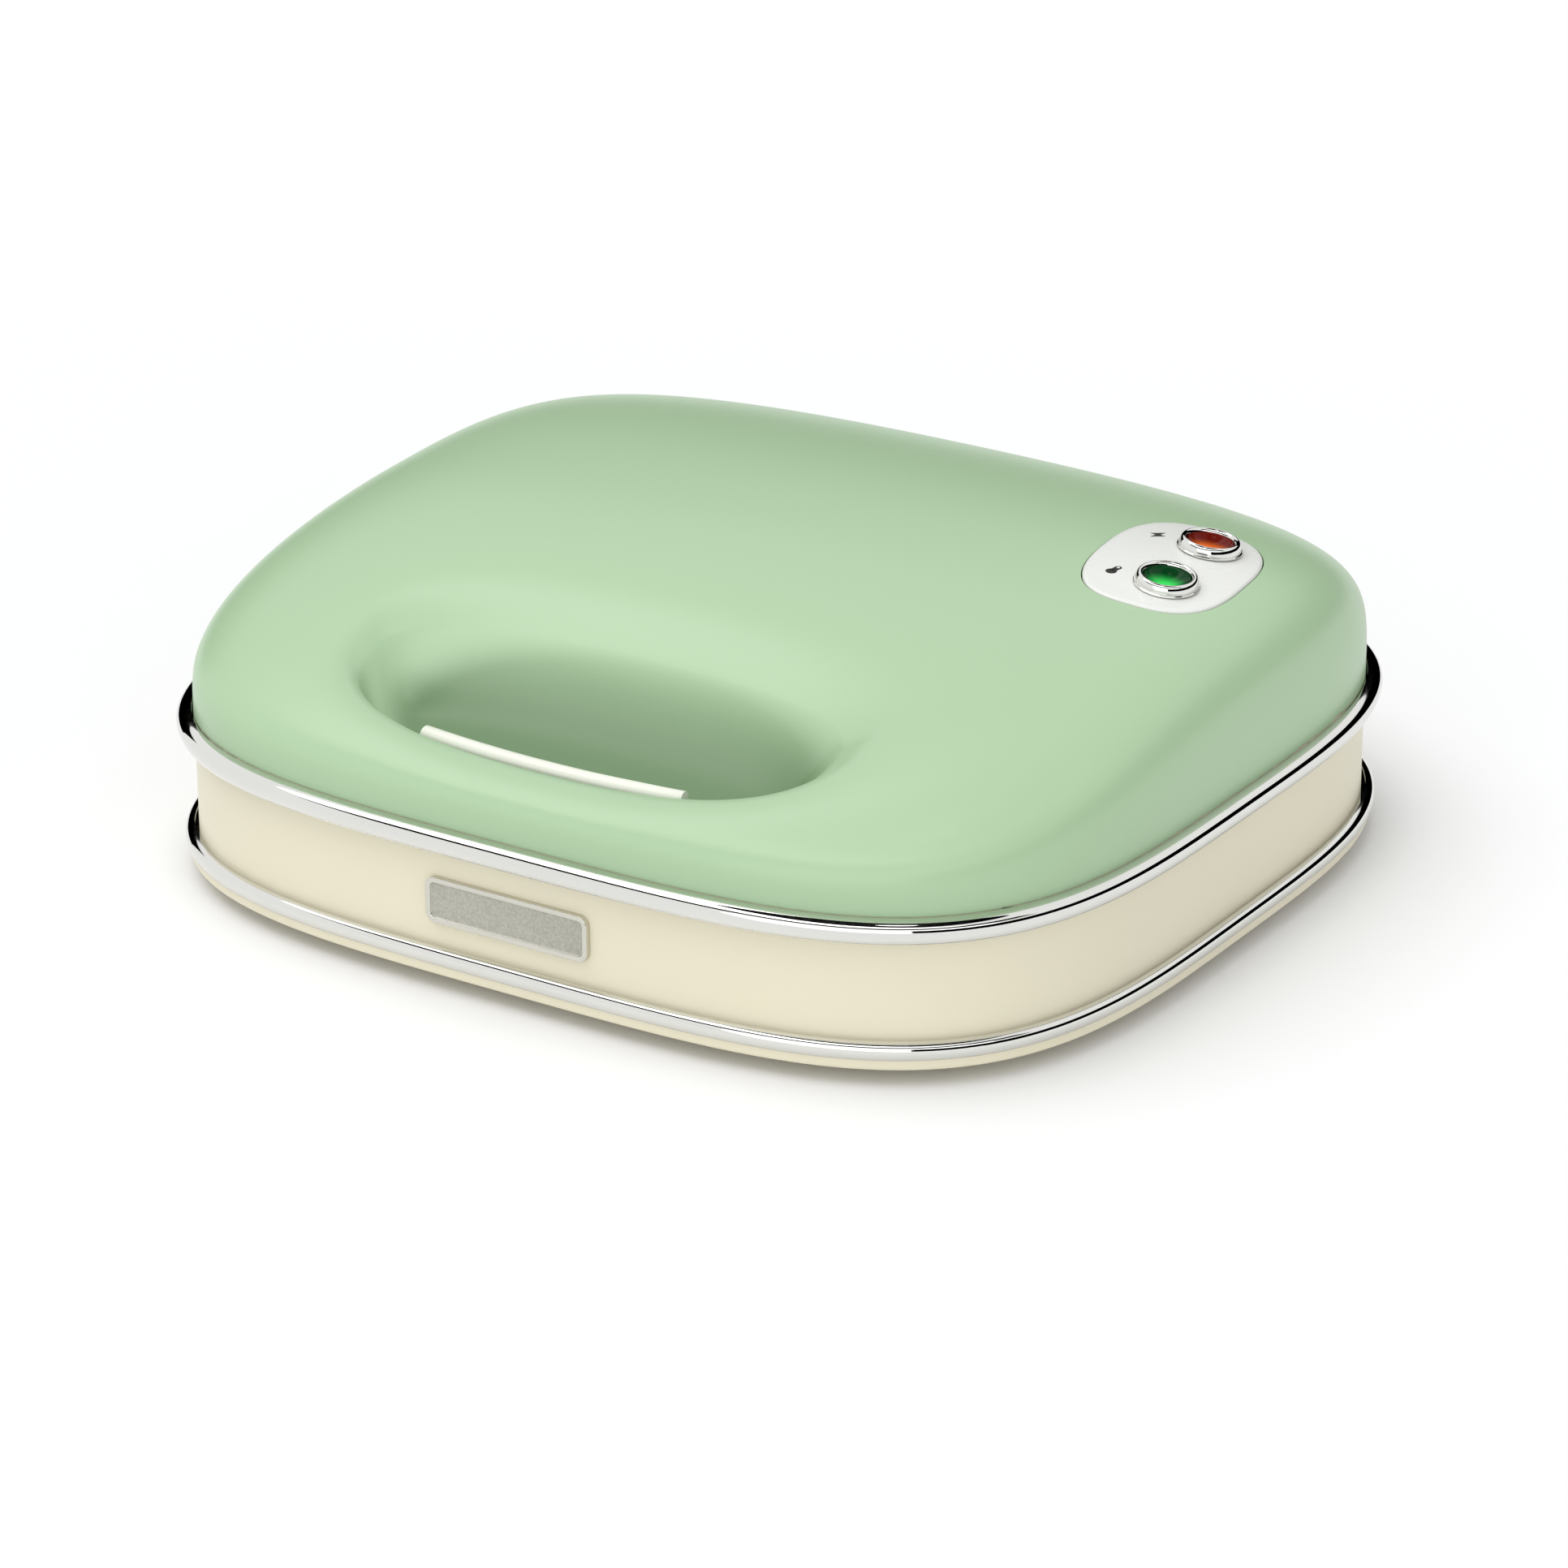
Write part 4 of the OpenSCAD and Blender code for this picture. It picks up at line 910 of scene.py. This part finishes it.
# %% Mouldings
TRIM_REACH, BAND_WALL, LIP_INSET, GROOVE = 4.4, 2.4, 2.1, 0.5
MOULDING_COLUMNS = 360
# The window for the rear panel: its gap at each side, and how deep its cutter is
PANEL_GAP, WINDOW_DEPTH = 0.05 * MM, 30 * MM
KNUCKLE_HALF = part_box("lid_hinge_arm")[1].x / MM


def bead(low, height, outer, low_edge, top_edge):
    """Section of a trim ring as inset and height: a round bead with fine edges."""
    arc = []
    for a in range(-80, 81, 8):
        share = (a + 90) / 180
        edge = mix(low_edge, top_edge, share)
        arc.append((edge - (edge - outer) * cos(radians(a)),
                    low + height * (1 + sin(radians(a))) / 2))
    top = low + height
    return ([(TRIM_REACH, low), (low_edge, low)] + arc
            + [(top_edge, top), (top_edge + 0.1, top - GROOVE), (TRIM_REACH, top - GROOVE),
               (TRIM_REACH, low)])


def moulding(section):
    """Carries a closed section round the whole outline."""
    loops = [[outline(2 * pi * i / MOULDING_COLUMNS, inset) for inset, _ in section]
             for i in range(MOULDING_COLUMNS)]
    return wrapped(MOULDING_COLUMNS, len(section) - 1,
                   lambda column, row: at(*loops[column % MOULDING_COLUMNS][row], section[row][1]))


def open_moulding(section, gap_angle):
    """The same, left open for gap_angle to each side of the back."""
    start, sweep = pi / 2 + gap_angle, 2 * pi - 2 * gap_angle
    loops = [[outline(start + sweep * i / MOULDING_COLUMNS, inset) for inset, _ in section]
             for i in range(MOULDING_COLUMNS + 1)]
    shape = wrapped(MOULDING_COLUMNS, len(section) - 1,
                    lambda column, row: at(*loops[column][row], section[row][1]))
    close_ends(shape)
    return shape


def build_rings():
    low, high = lower_ring_low.z / MM, lower_ring_high.z / MM
    add_piece("lower_trim_bead", moulding(bead(low, high - low, LOW_TRIM_INSET, LIP_INSET, 3.3)),
              "base", "chrome_trim", CHROME, "lower_trim_ring")
    gap = ceil(atan2(KNUCKLE_HALF + FIT_GAP, HALF_D - TRIM_REACH) / radians(3)) * radians(3)
    add_piece("upper_trim_bead", open_moulding(bead(Z_LID, Z_RIM - Z_LID, 0, 1, 3.7), gap),
              "lid", "chrome_trim", CHROME, "upper_trim_ring")


def build_band():
    """The cream band, with the lip that shows under the lower ring."""
    low, high = (corner.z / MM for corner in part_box("base_band"))
    shelf = lower_ring_low.z / MM
    inner = TRIM_REACH + BAND_WALL
    foot = [(LIP_INSET + 1 - cos(radians(a)), low + 1 - sin(radians(a)))
            for a in range(90, -1, -15)]
    brow = [(TRIM_REACH + 0.6 - 0.6 * cos(radians(a)), high - 0.6 + 0.6 * sin(radians(a)))
            for a in range(0, 91, 15)]
    section = (foot + [(LIP_INSET, shelf), (TRIM_REACH, shelf)] + brow
               + [(inner, high), (inner, low)])
    band = add_piece("base_band_skin", moulding(section + section[:1]), "base", "cream_plastic",
                     CREAM, "base_band")
    panel_low, panel_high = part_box("rear_panel")
    window = bmesh.new()
    bmesh.ops.create_cube(window, size=1)
    size = Vector((panel_high.x - panel_low.x + 2 * PANEL_GAP, WINDOW_DEPTH,
                   2 * (panel_high.z - panel_low.z)))
    spot = Vector((0, (panel_low.y + panel_high.y) / 2, panel_low.z + size.z / 2))
    cut(band, moved(window, Matrix.Translation(spot) @ Matrix.Diagonal((*size, 1))))


build_rings()
build_band()

# %% [markdown]
# ## The bare badge
# The badge is a bright frame round a rough grey field, and it bears nothing. A rounded
# rectangle is extruded, inset for the frame and pushed back for the field, and its
# edges are bevelled so that they catch the light.

# %% Badge
BADGE_CORNER, BADGE_BORDER, BADGE_DEPTH = 2.6, 1.3, 0.5
BADGE_SLOPE, BADGE_BEVEL = 0.12, 0.22


def rounded_rectangle(width, depth, corner, segments=64):
    """A flat face with round corners, from a circle whose quarters are pushed apart."""
    shape = bmesh.new()
    bmesh.ops.create_circle(shape, cap_ends=True, segments=segments, radius=corner)
    bmesh.ops.rotate(shape, verts=shape.verts, cent=(0, 0, 0),
                     matrix=Matrix.Rotation(pi / segments, 3, "Z"))
    for vert in shape.verts:
        vert.co.x += (width / 2 - corner) * (1 if vert.co.x > 0 else -1)
        vert.co.y += (depth / 2 - corner) * (1 if vert.co.y > 0 else -1)
    return shape


def build_badge():
    low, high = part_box("badge")
    size = (high - low) / MM
    shape = rounded_rectangle(size.x, size.z, BADGE_CORNER)
    bmesh.ops.recalc_face_normals(shape, faces=shape.faces)
    top = raised(shape, (0, 0, size.y))
    face = next(part for part in top if isinstance(part, bmesh.types.BMFace))
    for thickness, depth in ((BADGE_BORDER, 0), (BADGE_SLOPE, -BADGE_DEPTH)):
        bmesh.ops.inset_region(shape, faces=[face], thickness=thickness, depth=depth,
                               use_even_offset=True)
    face.material_index = 1
    bmesh.ops.recalc_face_normals(shape, faces=shape.faces)
    sharp = [edge for edge in shape.edges if edge.calc_face_angle(0) > radians(40)
             and max(corner.co.z for corner in edge.verts) > 0.1]
    bmesh.ops.bevel(shape, geom=sharp, offset=BADGE_BEVEL, offset_type="OFFSET",
                    affect="EDGES", segments=3, profile=0.5, material=-1, clamp_overlap=True)
    spot = Vector((0, high.y, (low.z + high.z) / 2))
    turn = Matrix.Rotation(radians(90), 4, "X") @ Matrix.Scale(MM, 4)
    badge = add_piece("badge_frame", moved(shape, Matrix.Translation(spot) @ turn), "base",
                      "badge_metal", BADGE_METAL, "badge")
    badge.data.materials.append(BADGE_FIELD)


build_badge()

# %% [markdown]
# ## Rounding the plain mouldings
# The decks, plates, hinge and cover are right in shape, but their edges are knife
# sharp, and no moulding's are. A copy of each node is merged into whole faces, and its
# sharp edges are bevelled. The copy then takes the node's place.

# %% Softened copies
def softened(node, body, slot_name, material, width=0.4, segments=3, crease=38):
    """A copy of a node with its sharp edges rounded."""
    shape = bmesh.new()
    shape.from_mesh(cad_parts[node].data)
    bmesh.ops.remove_doubles(shape, verts=shape.verts, dist=2e-6)
    bmesh.ops.dissolve_limit(shape, angle_limit=radians(0.6), use_dissolve_boundaries=False,
                             verts=shape.verts, edges=shape.edges, delimit={"NORMAL"})
    sharp = [e for e in shape.edges if e.is_manifold and e.calc_face_angle(0) > radians(crease)]
    bmesh.ops.bevel(shape, geom=sharp, offset=width * MM, offset_type="OFFSET", affect="EDGES",
                    segments=segments, profile=0.5, material=-1, clamp_overlap=True)
    for face in shape.faces:
        face.material_index = 0
    return add_piece(f"{node}_rounded", shape, body, slot_name, material, node, crease=30)


SOFTENED = {
    "rear_panel": ("base", "cream_plastic", CREAM, 0.2),
    "base_deck": ("base", "cream_plastic", CREAM, 0.35),
    "lid_deck": ("lid", "cream_plastic", CREAM, 0.3),
    "lower_cooking_plate": ("base", "coated_plate", COATING, 0.7),
    "upper_cooking_plate": ("lid", "coated_plate", COATING, 0.7),
    "hinge_housing": ("base", "cream_plastic", CREAM, 0.6),
    "lid_hinge_arm": ("lid", "cream_plastic", CREAM, 0.4),
    "bottom_cover": ("base", "cream_plastic", CREAM, 0.4),
    "rubber_feet": ("base", "rubber", RUBBER, 0.4),
    "latch_lever": ("latch", "cream_plastic", IVORY, 0.25),
    "latch_keeper": ("base", "steel", STEEL, 0.15),
    "cord_gland": ("base", "rubber", RUBBER, 0.4),
    "terminal_block": ("base", "ceramic", CERAMIC, 0.3),
}
for node, (body, slot_name, material, width) in SOFTENED.items():
    softened(node, body, slot_name, material, width)

# %% [markdown]
# ## What stays as packed
# Screws, elements, reflectors, pins and the small electric parts have the right shape
# already, so they keep their meshes and only take a finish.

# %% Finishes for the other nodes
KEPT = {
    STEEL: ["lower_reflector", "upper_reflector"],
    SHEATH: ["lower_heating_element", "upper_heating_element"],
    SCREW_STEEL: ["cover_screws", "lower_plate_screws", "upper_plate_screws", "hinge_arm_screws",
                  "hinge_pin", "lever_pin", "lever_spring"],
    CERAMIC: ["thermostat", "lamp_holder"],
    BRASS: ["thermal_fuse"],
    SLEEVE: ["thermostat_leads"],
    NEON_GLASS: ["power_lamp_neon", "ready_lamp_neon"],
}
for material, names in KEPT.items():
    for name in names:
        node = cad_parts[name]
        node.data.materials.clear()
        node.data.materials.append(material)
print("kept nodes:", sum(len(names) for names in KEPT.values()))

# %% [markdown]
# ## The floor
# The floor is a plain white sheet that only has to take the soft shadow.

# %% Floor
# The floor lies a hair below the table's height, so the feet don't share its plane
FLOOR_SIZE, FLOOR_Z = 6.0, -0.2 * MM
FLOOR_WHITE = finish("floor_white", (0.93, 0.93, 0.93), 0.995, 2, 60, (0.85, 0.95), 0.0, 0.0,
                     specular_ior_level=0.0)


def build_floor():
    shape = bmesh.new()
    bmesh.ops.create_grid(shape, x_segments=4, y_segments=4, size=FLOOR_SIZE / 2)
    sheet = placed("floor", to_mesh("floor", shape))
    sheet.data.materials.append(FLOOR_WHITE)
    sheet.location.z = FLOOR_Z


build_floor()

# %% The end
bpy.context.view_layer.update()
